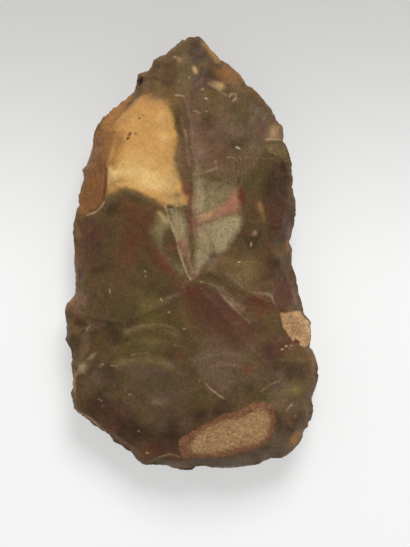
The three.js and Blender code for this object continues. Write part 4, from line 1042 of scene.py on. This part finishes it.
# mineral: corners, soft border, strength
AREAS = {
    "russet": [
        ([(-32, 11), (-31, 20), (-27.5, 30), (-26.2, 33.3), (-20.5, 33), (-21.5, 27), (-22.8, 22),
          (-23.6, 14), (-26, 11.8), (-29, 10.5)], 1.0, 0.85),
    ],
    "tan": [
        ([(-22.4, 33.2), (-18, 33), (-17.8, 30), (-19.4, 26.5), (-20.6, 23.6), (-23, 23.6),
          (-21.8, 28)], 3.2, 0.9),
    ],
    "honey": [
        ([(-23, 34.8), (-18, 38.5), (-15, 42), (-10, 43), (-7.8, 42.2), (-5.9, 39), (-4.5, 35.5),
          (-3.7, 32), (-4.4, 28), (-4.3, 24), (-3.3, 20), (-0.8, 16), (-1.4, 13), (-7, 12.7),
          (-11.3, 14.7), (-14, 16), (-17.4, 17.6), (-19.6, 16.6), (-22.6, 15.6), (-23.6, 19),
          (-23.2, 24), (-22.8, 30)], 2.0, 1),
    ],
    "cream": [
        (CREAM_PATCH, 0.5, 1),
        ([(21.5, 34.5), (22.8, 36), (24.8, 35), (25.4, 31.2), (24, 31), (21, 31)], 2.2, 0.48),
    ],
    "sage": [
        ([(5.4, 7.2), (7, 8.6), (9, 10), (12.6, 10.6), (13.8, 9), (13.2, 6.5), (12.1, 3.8), (10, 1.4),
          (7.4, 0.4), (6.2, 2), (5.6, 4.6)], 2.6, 0.95),
        ([(2, 6.5), (4.6, 5.5), (6.2, 0.6), (4.4, -2.2), (2.4, -5), (1.2, -6.4), (0.8, -4),
          (1.4, 0.6)], 1.8, 0.7),
    ],
    "pink": [
        ([(11.4, 17.2), (13.4, 16), (13.8, 11.6), (11.2, 10.8), (8.2, 9.9), (6.2, 9.2), (7.4, 11.4),
          (9.6, 13.8)], 2.4, 0.8),
    ],
    "rind": [(CORTEX, 0.5, 1)],
    "buff": [
        ([(-0.5, -52.5), (1.5, -49.6), (6.5, -47), (9.5, -45.3), (13, -44.7), (17.5, -42.5),
          (20, -42.5), (21, -43.5), (21.7, -46), (20.5, -49.5), (18, -51.7), (14, -52.6), (8, -54),
          (3, -55.2), (0.8, -55)], 2.0, 1),
    ],
}
print("areas:", sum(len(rows) for rows in AREAS.values()))

# %% [markdown]
# The hidden face has its own patches, larger and plainer, since nothing shows what it looks like.

# %% Patches of the face it lies on
UNDER_BLOBS = {
    "olive": [(-8, 20, 14, 9, 60, 9, 0.7), (12, -34, 12, 8, 20, 8, 0.6), (2, 48, 8, 5, 90, 5, 0.5)],
    "moss": [(14, 22, 10, 6, 80, 7, 0.6), (-20, -30, 9, 5, 60, 6, 0.6)],
    "umber": [(0, -8, 13, 9, 30, 9, 0.6), (-14, -48, 12, 5, -30, 7, 0.6), (10, 36, 8, 4, 100, 5, 0.5)],
    "mauve": [(-16, -8, 9, 6, 70, 6, 0.6), (14, 6, 9, 5, 100, 6, 0.5), (6, -50, 9, 4, 10, 5, 0.5)],
    "maroon": [(20, -14, 11, 6, 80, 7, 0.7), (-24, 8, 9, 5, 90, 5, 0.6), (-6, 40, 6, 4, 80, 4, 0.5)],
    "rust": [(4, 16, 6, 4, 40, 5, 0.5), (-10, -22, 5, 4, 0, 5, 0.5), (24, -40, 5, 3, 60, 3, 0.5)],
    "honey": [(-19, 30, 8, 4, 60, 4, 0.7), (26, -26, 6, 3, 90, 3, 0.5)],
    "russet": [(-27, -14, 9, 3, 90, 3, 0.6), (22, 30, 6, 2.5, 110, 3, 0.6), (12, 50, 5, 2, 130, 2, 0.6)],
    "sage": [(4, -24, 7, 5, 20, 5, 0.5), (-2, 30, 5, 3, 80, 4, 0.4)],
    "pink": [(-4, 4, 6, 2, 60, 3, 0.4)],
    "chalk": [(-9, 12, 0.5, 0.3, 20, 0.4, 0.6), (10, -12, 0.4, 0.4, 0, 0.4, 0.6)],
    "streaky": [(0, 20, 30, 20, 90, 10, 0.4), (-20, 0, 20, 6, 90, 5, 0.6), (20, -20, 20, 6, 90, 5, 0.6)],
    "speckled": [(4, -24, 8, 6, 20, 5, 0.8)],
}
print("patches below:", sum(len(rows) for rows in UNDER_BLOBS.values()))

# %% [markdown]
# A brush gives each point the distance to the border of its patch, counted in soft borders, so that
# a field is one half just on the border. Points are first pushed about by clouds, which makes the
# patches wander as stains in stone do; small patches are pushed less than large ones.

# %% Brushes
PUSH_SIZES = (4.2, 1.5)
SMALL_PUSH = 0.4
BLOB_PUSH, STROKE_PUSH, AREA_PUSH = 0.3, 0.12, 0.3
WIDEST_PUSHED = 3.0


def blob(x, y, middle_x, middle_y, half_long, half_wide, turn, soft):
    """An ellipse turned by some degrees."""
    x, y = push(x, y, BLOB_PUSH * min(half_wide, WIDEST_PUSHED), PUSH_SIZES, SMALL_PUSH, 70)
    c, s = math.cos(math.radians(turn)), math.sin(math.radians(turn))
    u = ((x - middle_x) * c + (y - middle_y) * s) / half_long
    v = ((y - middle_y) * c - (x - middle_x) * s) / half_wide
    return np.clip(0.5 - (np.hypot(u, v) - 1) * half_wide / soft, 0, 1)


def stroke(x, y, points, width, soft):
    """A line through some points."""
    x, y = push(x, y, STROKE_PUSH * min(width + 0.6, WIDEST_PUSHED), PUSH_SIZES, SMALL_PUSH, 80)
    distance = distance_to_chain(x, y, np.array(points, float), closed=False)
    return np.clip(0.5 - (distance - width / 2) / soft, 0, 1)


def area(x, y, corners, soft):
    """A patch with corners."""
    x, y = push(x, y, AREA_PUSH, PUSH_SIZES, SMALL_PUSH, 90)
    return np.clip(0.5 + signed_inside(x, y, corners) / soft, 0, 1)


test_x = np.array([0.0, 1.5, 3.0])
print("a blob 4 mm long, at 0, 1.5 and 3 mm:", np.round(blob(test_x, 0 * test_x, 0, 0, 2, 1, 0, 1), 2))

# %% [markdown]
# The upper points are the edge loop and the top, the lower ones the rest. Where two patches of one
# mineral overlap, the stronger one counts. A patch that names a scar is cut off at that scar's
# ridges, as a colour is where a flake has taken it away.

# %% Fields of both faces
MASK_BORDER = 0.12
upper_x = np.concatenate([loop[:, 0], top_x])
upper_y = np.concatenate([loop[:, 1], top_y])
fields = {name: np.full(len(upper_x), TRACES.get(name, 0.0)) for name in STAINS + OTHER_FIELDS}
under_fields = {name: np.full(len(under_x), TRACES.get(name, 0.0)) for name in fields}


def within_scar(name):
    """1 where the named scar is the lowest dish, 0 elsewhere, with a narrow soft border."""
    _, _, low, next_low = lowest_two(top_rows, upper_x, upper_y)
    number = [scar[0] for scar in TOP_SCARS].index(name)
    own = dish_height(top_rows[number], *bend(upper_x, upper_y))
    margin = np.where(own <= low, next_low - low, low - own)
    return smooth(margin, -MASK_BORDER, MASK_BORDER)


def paint(painted, name, value, strength):
    """Lay a patch over what a field already holds."""
    painted[name] = np.maximum(painted[name], value * strength)


scar_masks = {name: within_scar(name) for name in ("speckled facet", "wedge", "honey scar")}
for name, rows in BLOBS.items():
    for row in rows:
        mask = scar_masks[row[7]] if len(row) > 7 else 1
        paint(fields, name, blob(upper_x, upper_y, *row[:6]) * mask, row[6])
for name, rows in STROKES.items():
    for points, width, soft, strength in rows:
        paint(fields, name, stroke(upper_x, upper_y, points, width, soft), strength)
for name, rows in AREAS.items():
    for corners, soft, strength in rows:
        paint(fields, name, area(upper_x, upper_y, corners, soft), strength)
for name, rows in UNDER_BLOBS.items():
    for *shape, strength in rows:
        paint(under_fields, name, blob(under_x, under_y, *shape), strength)
print("fields:", len(fields), "masks:", list(scar_masks))

# %% [markdown]
# Three more fields come from the shape itself: how near a ridge, how near the edge, and how far the
# rind reaches. They are stored on the points of the mesh as attributes, beside the stains.

# %% Attributes of the points
RIDGE_REACH = 0.4
EDGE_REACH = 0.9
FAR_FROM_RIDGE = 9.0
RIND_BORDER = 0.5
cream_cover = np.clip(0.5 + signed_inside(upper_x, upper_y, CREAM_PATCH) / RIND_BORDER, 0, 1)
loop_zero = np.zeros(loop_count)
ridge_distance = np.concatenate([loop_zero + FAR_FROM_RIDGE, top_ridge, under_ridge])
edge_distance = np.concatenate([loop_zero, top_depth, under_depth])
point_values = {
    "near_ridge": np.exp(-(ridge_distance / RIDGE_REACH) ** 2),
    "near_edge": np.exp(-edge_distance / EDGE_REACH),
    "rind_cover": np.concatenate([np.maximum(fields["rind"], cream_cover), np.zeros(len(under_x))]),
}
for name, values in fields.items():
    point_values["stain_" + name] = np.concatenate([values, under_fields[name]])
for name, values in point_values.items():
    attribute = mesh.attributes.new(name, "FLOAT", "POINT")
    attribute.data.foreach_set("value", values.astype(np.float32))
print("attributes of the points:", len(point_values))

# %% [markdown]
# Fine lines radiate from the striking point on struck flint. So each corner of each triangle also
# holds its place along and across its scar, fanned out from that point. A corner can belong to one
# scar only, so nothing blurs where scars meet. Near the left and right edges and below the step of
# the right side the lines of this axe run from tip to butt instead, so there the places are plain.

# %% Attribute: along the scars
FAN_START = 8.0
FAN_RADIUS = 22.0
SCAR_APART = 3.7
LEFT_MARGIN = -23.0
RIGHT_MARGIN = 21.5
STEP_LEFT, STEP_LOW, STEP_HIGH = 9.5, 15.5, 26.0


def fan_places(rows, corners):
    """Along, across and number of the scar at each corner of each triangle, in mm."""
    middle = corners.mean(axis=1)
    first, _, _, _ = lowest_two(rows, middle[:, 0], middle[:, 1])
    row = rows[first][:, None, :]
    dx, dy = corners[..., 0] - row[..., 0], corners[..., 1] - row[..., 1]
    along = dx * row[..., 2] + dy * row[..., 3] + FAN_START
    across = dy * row[..., 2] - dx * row[..., 3]
    angle = np.arctan2(across, np.maximum(along, 1))
    number = np.repeat(first[:, None], 3, axis=1) * SCAR_APART
    return np.stack([np.hypot(along, across), FAN_RADIUS * angle, number], axis=-1)


top_corners = places[triangles[:len(top_triangles)]]
under_corners = places[triangles[len(top_triangles):]]
fan = np.concatenate([fan_places(top_rows, top_corners), fan_places(under_rows, under_corners)])
middle_x = top_corners[:, :, 0].mean(axis=1)
middle_y = top_corners[:, :, 1].mean(axis=1)
below_step = (middle_x > STEP_LEFT) & (middle_y > STEP_LOW) & (middle_y < STEP_HIGH)
lengthwise = (middle_x < LEFT_MARGIN) | (middle_x > RIGHT_MARGIN) | below_step
fan[:len(top_corners)][lengthwise] = top_corners[lengthwise][:, :, [1, 0, 2]]
attribute = mesh.attributes.new("along_scar", "FLOAT_VECTOR", "CORNER")
attribute.data.foreach_set("vector", (fan * MM).astype(np.float32).ravel())
print("triangles with lengthwise streaks:", int(lengthwise.sum()))

# %% [markdown]
# The whole stone is shaded smooth, since its crisp ridges come from the mesh. Only the edge where
# the two faces meet is marked sharp, or the shading would roll over it.

# %% Sharp edge
sharp = mesh.attributes.new("sharp_edge", "BOOLEAN", "EDGE")
edge_ends = np.zeros(len(mesh.edges) * 2, int)
mesh.edges.foreach_get("vertices", edge_ends)
edge_ends = edge_ends.reshape(-1, 2)
apart = np.abs(edge_ends[:, 0] - edge_ends[:, 1])
on_loop = (edge_ends.max(axis=1) < loop_count) & ((apart == 1) | (apart == loop_count - 1))
sharp.data.foreach_set("value", on_loop)
print("attributes:", len(mesh.attributes), "sharp edges:", int(on_loop.sum()))

# %% [markdown]
# Nodes are easier to read when small helpers build them: one adds a node and fills or links its
# sockets, and others do sums, ramps and blends of colours.

# %% Helpers for nodes
def fill(tree, made, inputs):
    """Link an input of a node where a socket is given, and set it where a value is given."""
    for key, value in inputs.items():
        if isinstance(value, bpy.types.NodeSocket):
            tree.links.new(value, made.inputs[key])
        else:
            made.inputs[key].default_value = value


def add(tree, kind, inputs, **settings):
    """Add a shader node, set its options and fill its inputs."""
    made = tree.nodes.new("ShaderNode" + kind)
    for key, value in settings.items():
        setattr(made, key, value)
    fill(tree, made, inputs)
    return made


def calc(tree, operation, *values, clamp=False):
    """A sum of one to three numbers."""
    inputs = dict(enumerate(values))
    return add(tree, "Math", inputs, operation=operation, use_clamp=clamp).outputs[0]


def product(tree, first, *others):
    """Several numbers multiplied."""
    for other in others:
        first = calc(tree, "MULTIPLY", first, other)
    return first


def ramp(tree, value, low, high, kind="LINEAR"):
    """A number that is 0 at low and before it, and 1 at high and beyond it."""
    return add(tree, "MapRange", {0: value, 1: low, 2: high}, interpolation_type=kind).outputs[0]


def blend_colours(tree, share, below, above):
    """One colour laid over another by a share from 0 to 1."""
    return add(tree, "Mix", {0: share, 6: below, 7: above}, data_type="RGBA").outputs[2]


print("helpers for nodes: fill, add, calc, product, ramp, blend_colours")

# %% [markdown]
# A node group is a box of nodes with named inputs and outputs, made once and placed as often as it
# is needed, each time with its own values.

# %% Helpers for groups
def new_group(name, inputs, outputs):
    """A node group with sockets given as (kind, name, value) and (kind, name)."""
    group = bpy.data.node_groups.new(name, "ShaderNodeTree")
    for kind, label, value in inputs:
        socket = group.interface.new_socket(name=label, in_out="INPUT", socket_type="NodeSocket" + kind)
        if value is not None:
            socket.default_value = value
    for kind, label in outputs:
        group.interface.new_socket(name=label, in_out="OUTPUT", socket_type="NodeSocket" + kind)
    return group, group.nodes.new("NodeGroupInput").outputs, group.nodes.new("NodeGroupOutput").inputs


def place_group(tree, group, **inputs):
    """Place a group in a tree and fill its inputs."""
    made = tree.nodes.new("ShaderNodeGroup")
    made.node_tree = group
    fill(tree, made, {key.replace("_", " "): value for key, value in inputs.items()})
    return made.outputs


print("groups so far:", len(bpy.data.node_groups))

# %% [markdown]
# A mineral stain group lays one colour over another. Its field is the soft patch that was painted
# on the points. A cloud moves the border in and out before the field is steepened, so the border
# gets finer detail than the mesh has points. The cloud acts only where the field lies between 0 and
# 1, and a smooth step rounds off both ends of the border.

# %% Group: mineral stain
BORDER_GAIN = 4.0
tree, given, result = new_group(
    "mineral_stain",
    [("Color", "Below", None), ("Color", "Stain", None), ("Float", "Field", 0.0),
     ("Float", "Cloud", 0.0), ("Float", "Raggedness", 0.5)],
    [("Color", "Colour")])
border = product(tree, given["Field"], calc(tree, "SUBTRACT", 1.0, given["Field"]))
moved = product(tree, border, given["Raggedness"], given["Cloud"])
ragged = calc(tree, "MULTIPLY_ADD", moved, BORDER_GAIN, given["Field"])
mask = ramp(tree, ragged, 0.0, 1.0, "SMOOTHSTEP")
tree.links.new(blend_colours(tree, mask, given["Below"], given["Stain"]), result["Colour"])
stain_group = tree
print("group:", stain_group.name)

# %% [markdown]
# Clouds, streaks along the scars and specks are the fine detail of flint. Each is a group that gives
# values, and the material decides what colour or height they stand for. Blender's noise stays near
# one half, so it is widened to run from about -1 to 1.

# %% Groups: clouds and streaks
def widened(tree, noise):
    """Noise about one half made to run from about -1 to 1."""
    return calc(tree, "MULTIPLY_ADD", noise, 4.0, -2.0)


tree, given, result = new_group(
    "stone_cloud",
    [("Vector", "Place", None), ("Float", "Size", 2 * MM), ("Float", "Detail", 3.0)],
    [("Float", "Value"), ("Float", "Second"), ("Float", "Third")])
scale = calc(tree, "DIVIDE", 1.0, given["Size"])
noise = add(tree, "TexNoise", {"Vector": given["Place"], "Scale": scale, "Detail": given["Detail"],
                               "Roughness": 0.55})
channels = add(tree, "SeparateColor", {0: noise.outputs[1]}).outputs
for channel, label in zip(channels, ("Value", "Second", "Third")):
    tree.links.new(widened(tree, channel), result[label])
cloud_group = tree

tree, given, result = new_group(
    "scar_streaks",
    [("Vector", "Along scar", None), ("Float", "Length", 20 * MM), ("Float", "Spacing", 0.6 * MM)],
    [("Float", "Value")])
parts = add(tree, "SeparateXYZ", {0: given["Along scar"]}).outputs
squeezed = add(tree, "CombineXYZ", {
    0: calc(tree, "DIVIDE", parts[0], given["Length"]),
    1: calc(tree, "DIVIDE", parts[1], given["Spacing"]),
    2: calc(tree, "MULTIPLY", parts[2], 1 / MM)}).outputs[0]
noise = add(tree, "TexNoise", {"Vector": squeezed, "Scale": 1.0, "Detail": 2.0, "Roughness": 0.6})
tree.links.new(widened(tree, noise.outputs[0]), result["Value"])
streak_group = tree
print("groups:", cloud_group.name, streak_group.name)

# %% [markdown]
# Specks are round spots scattered over cells of about one spacing. A share of the cells has one,
# each with its own radius, and its kind is a number from 0 to 1 that the material may use.

# %% Group: specks
LEAST_RADIUS = 0.5
RADIUS_SPREAD = 0.8
SOFT_FROM = 0.5
tree, given, result = new_group(
    "stone_specks",
    [("Vector", "Place", None), ("Float", "Spacing", 0.8 * MM), ("Float", "Share", 0.3),
     ("Float", "Radius", 0.35)],
    [("Float", "Mask"), ("Float", "Kind")])
scale = calc(tree, "DIVIDE", 1.0, given["Spacing"])
cells = add(tree, "TexVoronoi", {"Vector": given["Place"], "Scale": scale, "Randomness": 1.0}).outputs
kinds = add(tree, "SeparateColor", {0: cells["Color"]}).outputs
chosen = calc(tree, "LESS_THAN", kinds[0], given["Share"])
radius = calc(tree, "MULTIPLY_ADD", kinds[1], RADIUS_SPREAD, LEAST_RADIUS)
radius = product(tree, given["Radius"], radius)
near = ramp(tree, cells["Distance"], radius, product(tree, radius, SOFT_FROM))
tree.links.new(product(tree, near, chosen), result["Mask"])
tree.links.new(kinds[2], result["Kind"])
speck_group = tree
print("group:", speck_group.name)

# %% [markdown]
# The flint itself is built up like the stone: a brown ground with slow clouds, then the minerals
# one over another in the order of the palette. Each family of colours has its border moved by a
# cloud of its own, so that borders of different minerals do not run side by side.

# %% Material: colours of the flint
flint = bpy.data.materials.new("mottled_flint")
flint.use_nodes = True
tree = flint.node_tree
shader = tree.nodes["Principled BSDF"]
place = add(tree, "TexCoord", {}).outputs["Object"]
DARK_GROUND, LIGHT_GROUND = linear("#4c3a22"), linear("#604a2e")
GROUND_MIDDLE, GROUND_CHANGE = 0.4, 0.35
RAGGED, HARDLY_RAGGED = 0.45, 0.2
SHARP = ("cream", "rind", "black")
GREENISH = ("olive", "moss", "sage", "khaki", "buff", "straw")
REDDISH = ("mauve", "slate", "maroon", "rust", "wine", "pink", "russet", "pinktan", "honey")


def field(name):
    """A field of the mesh as a number in the nodes."""
    return add(tree, "Attribute", {}, attribute_name=name).outputs["Fac"]


def channel_of(mineral):
    """The cloud that moves the border of a mineral's patches."""
    if mineral in GREENISH:
        return "Value"
    if mineral in REDDISH:
        return "Second"
    return "Third"


along_scar = add(tree, "Attribute", {}, attribute_name="along_scar").outputs["Vector"]
broad = place_group(tree, cloud_group, Place=place, Size=9 * MM, Detail=2.0)["Value"]
middling = place_group(tree, cloud_group, Place=place, Size=2.8 * MM, Detail=3.0)["Value"]
fine = place_group(tree, cloud_group, Place=place, Size=0.7 * MM, Detail=3.0)["Value"]
border_clouds = place_group(tree, cloud_group, Place=place, Size=7 * MM, Detail=4.0)
ground_share = calc(tree, "MULTIPLY_ADD", broad, GROUND_CHANGE, GROUND_MIDDLE, clamp=True)
colour = blend_colours(tree, ground_share, DARK_GROUND, LIGHT_GROUND)
for name in STAINS:
    colour = place_group(tree, stain_group, Below=colour, Stain=linear(PALETTE[name]),
                         Field=field("stain_" + name), Cloud=border_clouds[channel_of(name)],
                         Raggedness=HARDLY_RAGGED if name in SHARP else RAGGED)["Colour"]
print("stains laid:", len(STAINS))

# %% [markdown]
# Streaks, clouds of two sizes and, on the rind only, single grains make the colour lighter and
# darker. Each adds a small share to one number, which starts at 1 and multiplies the colour. The
# smooth honey scar has less of the finest clouds and the grainy rind has more.

# %% Material: lightness
STREAK_LIFT, STREAK_LIFT_IN_STREAKY = 0.026, 0.17
MIDDLING_LIFT = 0.06
GRAIN_LIFT = 0.5
FINE_LIFT, MORE_FINE_ON_RIND, LESS_FINE_ON_HONEY = 0.26, 0.12, -0.12
streaky = field("stain_streaky")
rind_cover = field("rind_cover")
streaks = place_group(tree, streak_group, Along_scar=along_scar, Length=16 * MM, Spacing=0.55 * MM)["Value"]
grains = place_group(tree, speck_group, Place=place, Spacing=0.62 * MM, Share=0.85, Radius=0.7)
lift = product(tree, streaks, calc(tree, "MULTIPLY_ADD", streaky, STREAK_LIFT_IN_STREAKY, STREAK_LIFT))
lift = calc(tree, "ADD", lift, product(tree, middling, MIDDLING_LIFT))
grain_lift = calc(tree, "MULTIPLY_ADD", grains["Kind"], GRAIN_LIFT, -GRAIN_LIFT / 2)
lift = calc(tree, "ADD", lift, product(tree, grain_lift, grains["Mask"], rind_cover))
fine_lift = calc(tree, "MULTIPLY_ADD", rind_cover, MORE_FINE_ON_RIND, FINE_LIFT)
fine_lift = calc(tree, "MULTIPLY_ADD", field("stain_honey"), LESS_FINE_ON_HONEY, fine_lift)
lift = calc(tree, "ADD", lift, product(tree, fine, fine_lift))
lift = calc(tree, "ADD", lift, 1.0)
colour = add(tree, "HueSaturation", {"Value": lift, "Color": colour}).outputs[0]
print("nodes so far:", len(tree.nodes))

# %% [markdown]
# The grey-green facet is full of dark specks and hair cracks, which other parts hardly have. A few
# pale specks lie everywhere. Last, ridges and the thin edge are a little paler, but only in places: a
# cloud breaks the line up. On the ridges this is partly bruised stone and partly a painted highlight
# on the crests; at the edge it is partly bruised stone and partly painted light shining through the
# thin flint.

# %% Material: specks, cracks and bruises
SPECK_SHADE, CRACK_SHADE = linear("#574a38"), linear("#4e3f2c")
PALE_SPECK, PALE_RIDGE, PALE_EDGE = linear("#cdb999"), linear("#b39c7e"), linear("#8d6a4c")
DARK_SPECKS, CRACKS, PALE_SPECKS = 0.6, 0.45, 0.5
RIDGES_BRUISED_AND_HIGHLIT, EDGE_BRUISED_AND_LIT_THROUGH = 0.1, 0.35
CRACKLE_SPACING = 1.3 * MM
CRACK_WIDTH = 0.09
speckled = field("stain_speckled")
dark = place_group(tree, speck_group, Place=place, Spacing=0.75 * MM, Share=0.45, Radius=0.34)["Mask"]
colour = blend_colours(tree, product(tree, dark, speckled, DARK_SPECKS), colour, SPECK_SHADE)
crackle = add(tree, "TexVoronoi", {"Vector": place, "Scale": 1 / CRACKLE_SPACING},
              feature="DISTANCE_TO_EDGE")
cracks = ramp(tree, crackle.outputs["Distance"], CRACK_WIDTH, 0.0)
cracks = product(tree, cracks, calc(tree, "MULTIPLY_ADD", middling, 0.5, 0.5, clamp=True))
colour = blend_colours(tree, product(tree, cracks, speckled, CRACKS), colour, CRACK_SHADE)
pale = place_group(tree, speck_group, Place=place, Spacing=2.6 * MM, Share=0.1, Radius=0.07)["Mask"]
colour = blend_colours(tree, product(tree, pale, PALE_SPECKS), colour, PALE_SPECK)
# Painted highlight on the ridge crests, mixed with bruising.
crest_bruise_and_highlight = product(tree, field("near_ridge"), calc(tree, "MULTIPLY_ADD", middling, 0.5, 0.25, clamp=True))
colour = blend_colours(tree, product(tree, crest_bruise_and_highlight, RIDGES_BRUISED_AND_HIGHLIT), colour, PALE_RIDGE)
# Painted light through the thin edge, mixed with bruising.
edge = product(tree, field("near_edge"), calc(tree, "MULTIPLY_ADD", fine, 0.5, 0.4, clamp=True))
colour = blend_colours(tree, product(tree, edge, EDGE_BRUISED_AND_LIT_THROUGH), colour, PALE_EDGE)
tree.links.new(colour, shader.inputs["Base Color"])
print("nodes so far:", len(tree.nodes))

# %% [markdown]
# The rind is chalky and full of grains, while the flint beside it is smooth and waxy. One field
# drives both the roughness and the grain height. Heights are in metres, so with a bump distance of
# 1 they are the real depth of a grain. Their detail is too fine for the points of the mesh.

# %% Material: roughness and bumps
WAXY, WAXY_CHANGE, CHALKY = 0.42, 0.05, 0.85
REFLECTION = 0.12
STREAK_HEIGHT, STREAK_HEIGHT_IN_STREAKY = 0.008 * MM, 0.07 * MM
FINE_HEIGHT = 0.03 * MM
GRAIN_HEIGHT = 0.06 * MM
waxy = calc(tree, "MULTIPLY_ADD", middling, WAXY_CHANGE, WAXY)
rough = add(tree, "Mix", {0: rind_cover, 2: waxy, 3: CHALKY}, data_type="FLOAT").outputs[0]
tree.links.new(rough, shader.inputs["Roughness"])
shader.inputs["Specular IOR Level"].default_value = REFLECTION
streak_depth = calc(tree, "MULTIPLY_ADD", streaky, STREAK_HEIGHT_IN_STREAKY, STREAK_HEIGHT)
height = calc(tree, "ADD", product(tree, streaks, streak_depth), product(tree, fine, FINE_HEIGHT))
height = calc(tree, "ADD", height, product(tree, grains["Mask"], rind_cover, GRAIN_HEIGHT))
bump = add(tree, "Bump", {"Height": height, "Strength": 1.0, "Distance": 1.0})
tree.links.new(bump.outputs[0], shader.inputs["Normal"])
mesh.materials.append(flint)
print("nodes in the flint:", len(tree.nodes))

# %% [markdown]
# The axe lies on plain pale paper. In the photograph the far side of the paper is dimmer, so its
# colour falls off slowly toward the tip's side. The paper also glows a little, which keeps the
# shadows on it as faint as they are in the photograph.

# %% Paper
FLOOR_HALF = 2.0
FLOOR_GAP = 0.05
PAPER_MATT = 0.48
PAPER_GLOW = 0.53
PAPER_ROUGHNESS, PAPER_REFLECTION = 0.9, 0.1
NEAR_PAPER, FAR_PAPER = (0.87, 0.87, 0.865, 1), (0.53, 0.525, 0.51, 1)
DIM_FROM, DIM_TO = -20 * MM, 85 * MM
BLACK = (0, 0, 0, 1)
paper = bpy.data.materials.new("pale_paper")
paper.use_nodes = True
tree = paper.node_tree
shader = tree.nodes["Principled BSDF"]
place = add(tree, "TexCoord", {}).outputs["Object"]
toward_tip = add(tree, "SeparateXYZ", {0: place}).outputs[1]
# Painted shade: the paper's colour falls off toward the tip's side. The same colour also glows, a painted
# light.
paper_colour_with_painted_falloff = blend_colours(tree, ramp(tree, toward_tip, DIM_FROM, DIM_TO, "SMOOTHSTEP"), NEAR_PAPER, FAR_PAPER)
matt = blend_colours(tree, 1 - PAPER_MATT, paper_colour_with_painted_falloff, BLACK)
fill(tree, shader, {"Base Color": matt, "Emission Color": paper_colour_with_painted_falloff, "Emission Strength": PAPER_GLOW,
                    "Roughness": PAPER_ROUGHNESS, "Specular IOR Level": PAPER_REFLECTION})
floor_mesh = bpy.data.meshes.new("pale_paper")
floor_corners = [(-FLOOR_HALF, -FLOOR_HALF, 0), (FLOOR_HALF, -FLOOR_HALF, 0),
                 (FLOOR_HALF, FLOOR_HALF, 0), (-FLOOR_HALF, FLOOR_HALF, 0)]
floor_mesh.from_pydata(floor_corners, [], [(0, 1, 2, 3)])
floor_mesh.materials.append(paper)
floor = bpy.data.objects.new("pale_paper", floor_mesh)
floor.location.z = -FLOOR_GAP * MM
bpy.context.scene.collection.objects.link(floor)
print("paper at, mm:", round(floor.location.z / MM, 3))

# %% [markdown]
# One wide soft light hangs on the tip's side of the axe, a little to the right, so the shadows fall
# toward the butt. A bright even room fills them. The room is dimmer straight overhead, where the
# waxy stone would mirror it into the camera as a grey veil.

# %% Light
WINDOW_PLACE = (0.17, 0.78, 0.9)
WINDOW_SIZE = 0.6
WINDOW_POWER = 13
ROOM_LIGHT = (0.66, 0.66, 0.66, 1)
ROOM_OVERHEAD = (0.25, 0.25, 0.25, 1)
OVERHEAD_FROM, OVERHEAD_TO = 0.72, 0.93
window = bpy.data.lights.new("window_light", "AREA")
window.shape = "DISK"
window.size = WINDOW_SIZE
window.energy = WINDOW_POWER
lamp = bpy.data.objects.new("window_light", window)
lamp.location = WINDOW_PLACE
lamp.rotation_euler = (-Vector(WINDOW_PLACE)).to_track_quat("-Z", "Y").to_euler()
bpy.context.scene.collection.objects.link(lamp)
world = bpy.data.worlds.new("room")
world.use_nodes = True
tree = world.node_tree
direction = add(tree, "TexCoord", {}).outputs["Generated"]
upward = add(tree, "SeparateXYZ", {0: direction}).outputs[2]
overhead = ramp(tree, upward, OVERHEAD_FROM, OVERHEAD_TO, "SMOOTHSTEP")
room = blend_colours(tree, overhead, ROOM_LIGHT, ROOM_OVERHEAD)
tree.links.new(room, tree.nodes["Background"].inputs["Color"])
bpy.context.scene.world = world
bpy.context.scene.view_settings.view_transform = "Standard"
print("window light, W:", WINDOW_POWER, "at, m:", WINDOW_PLACE)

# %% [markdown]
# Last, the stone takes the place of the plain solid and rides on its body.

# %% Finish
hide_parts("hand_axe")
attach(stone, "root")
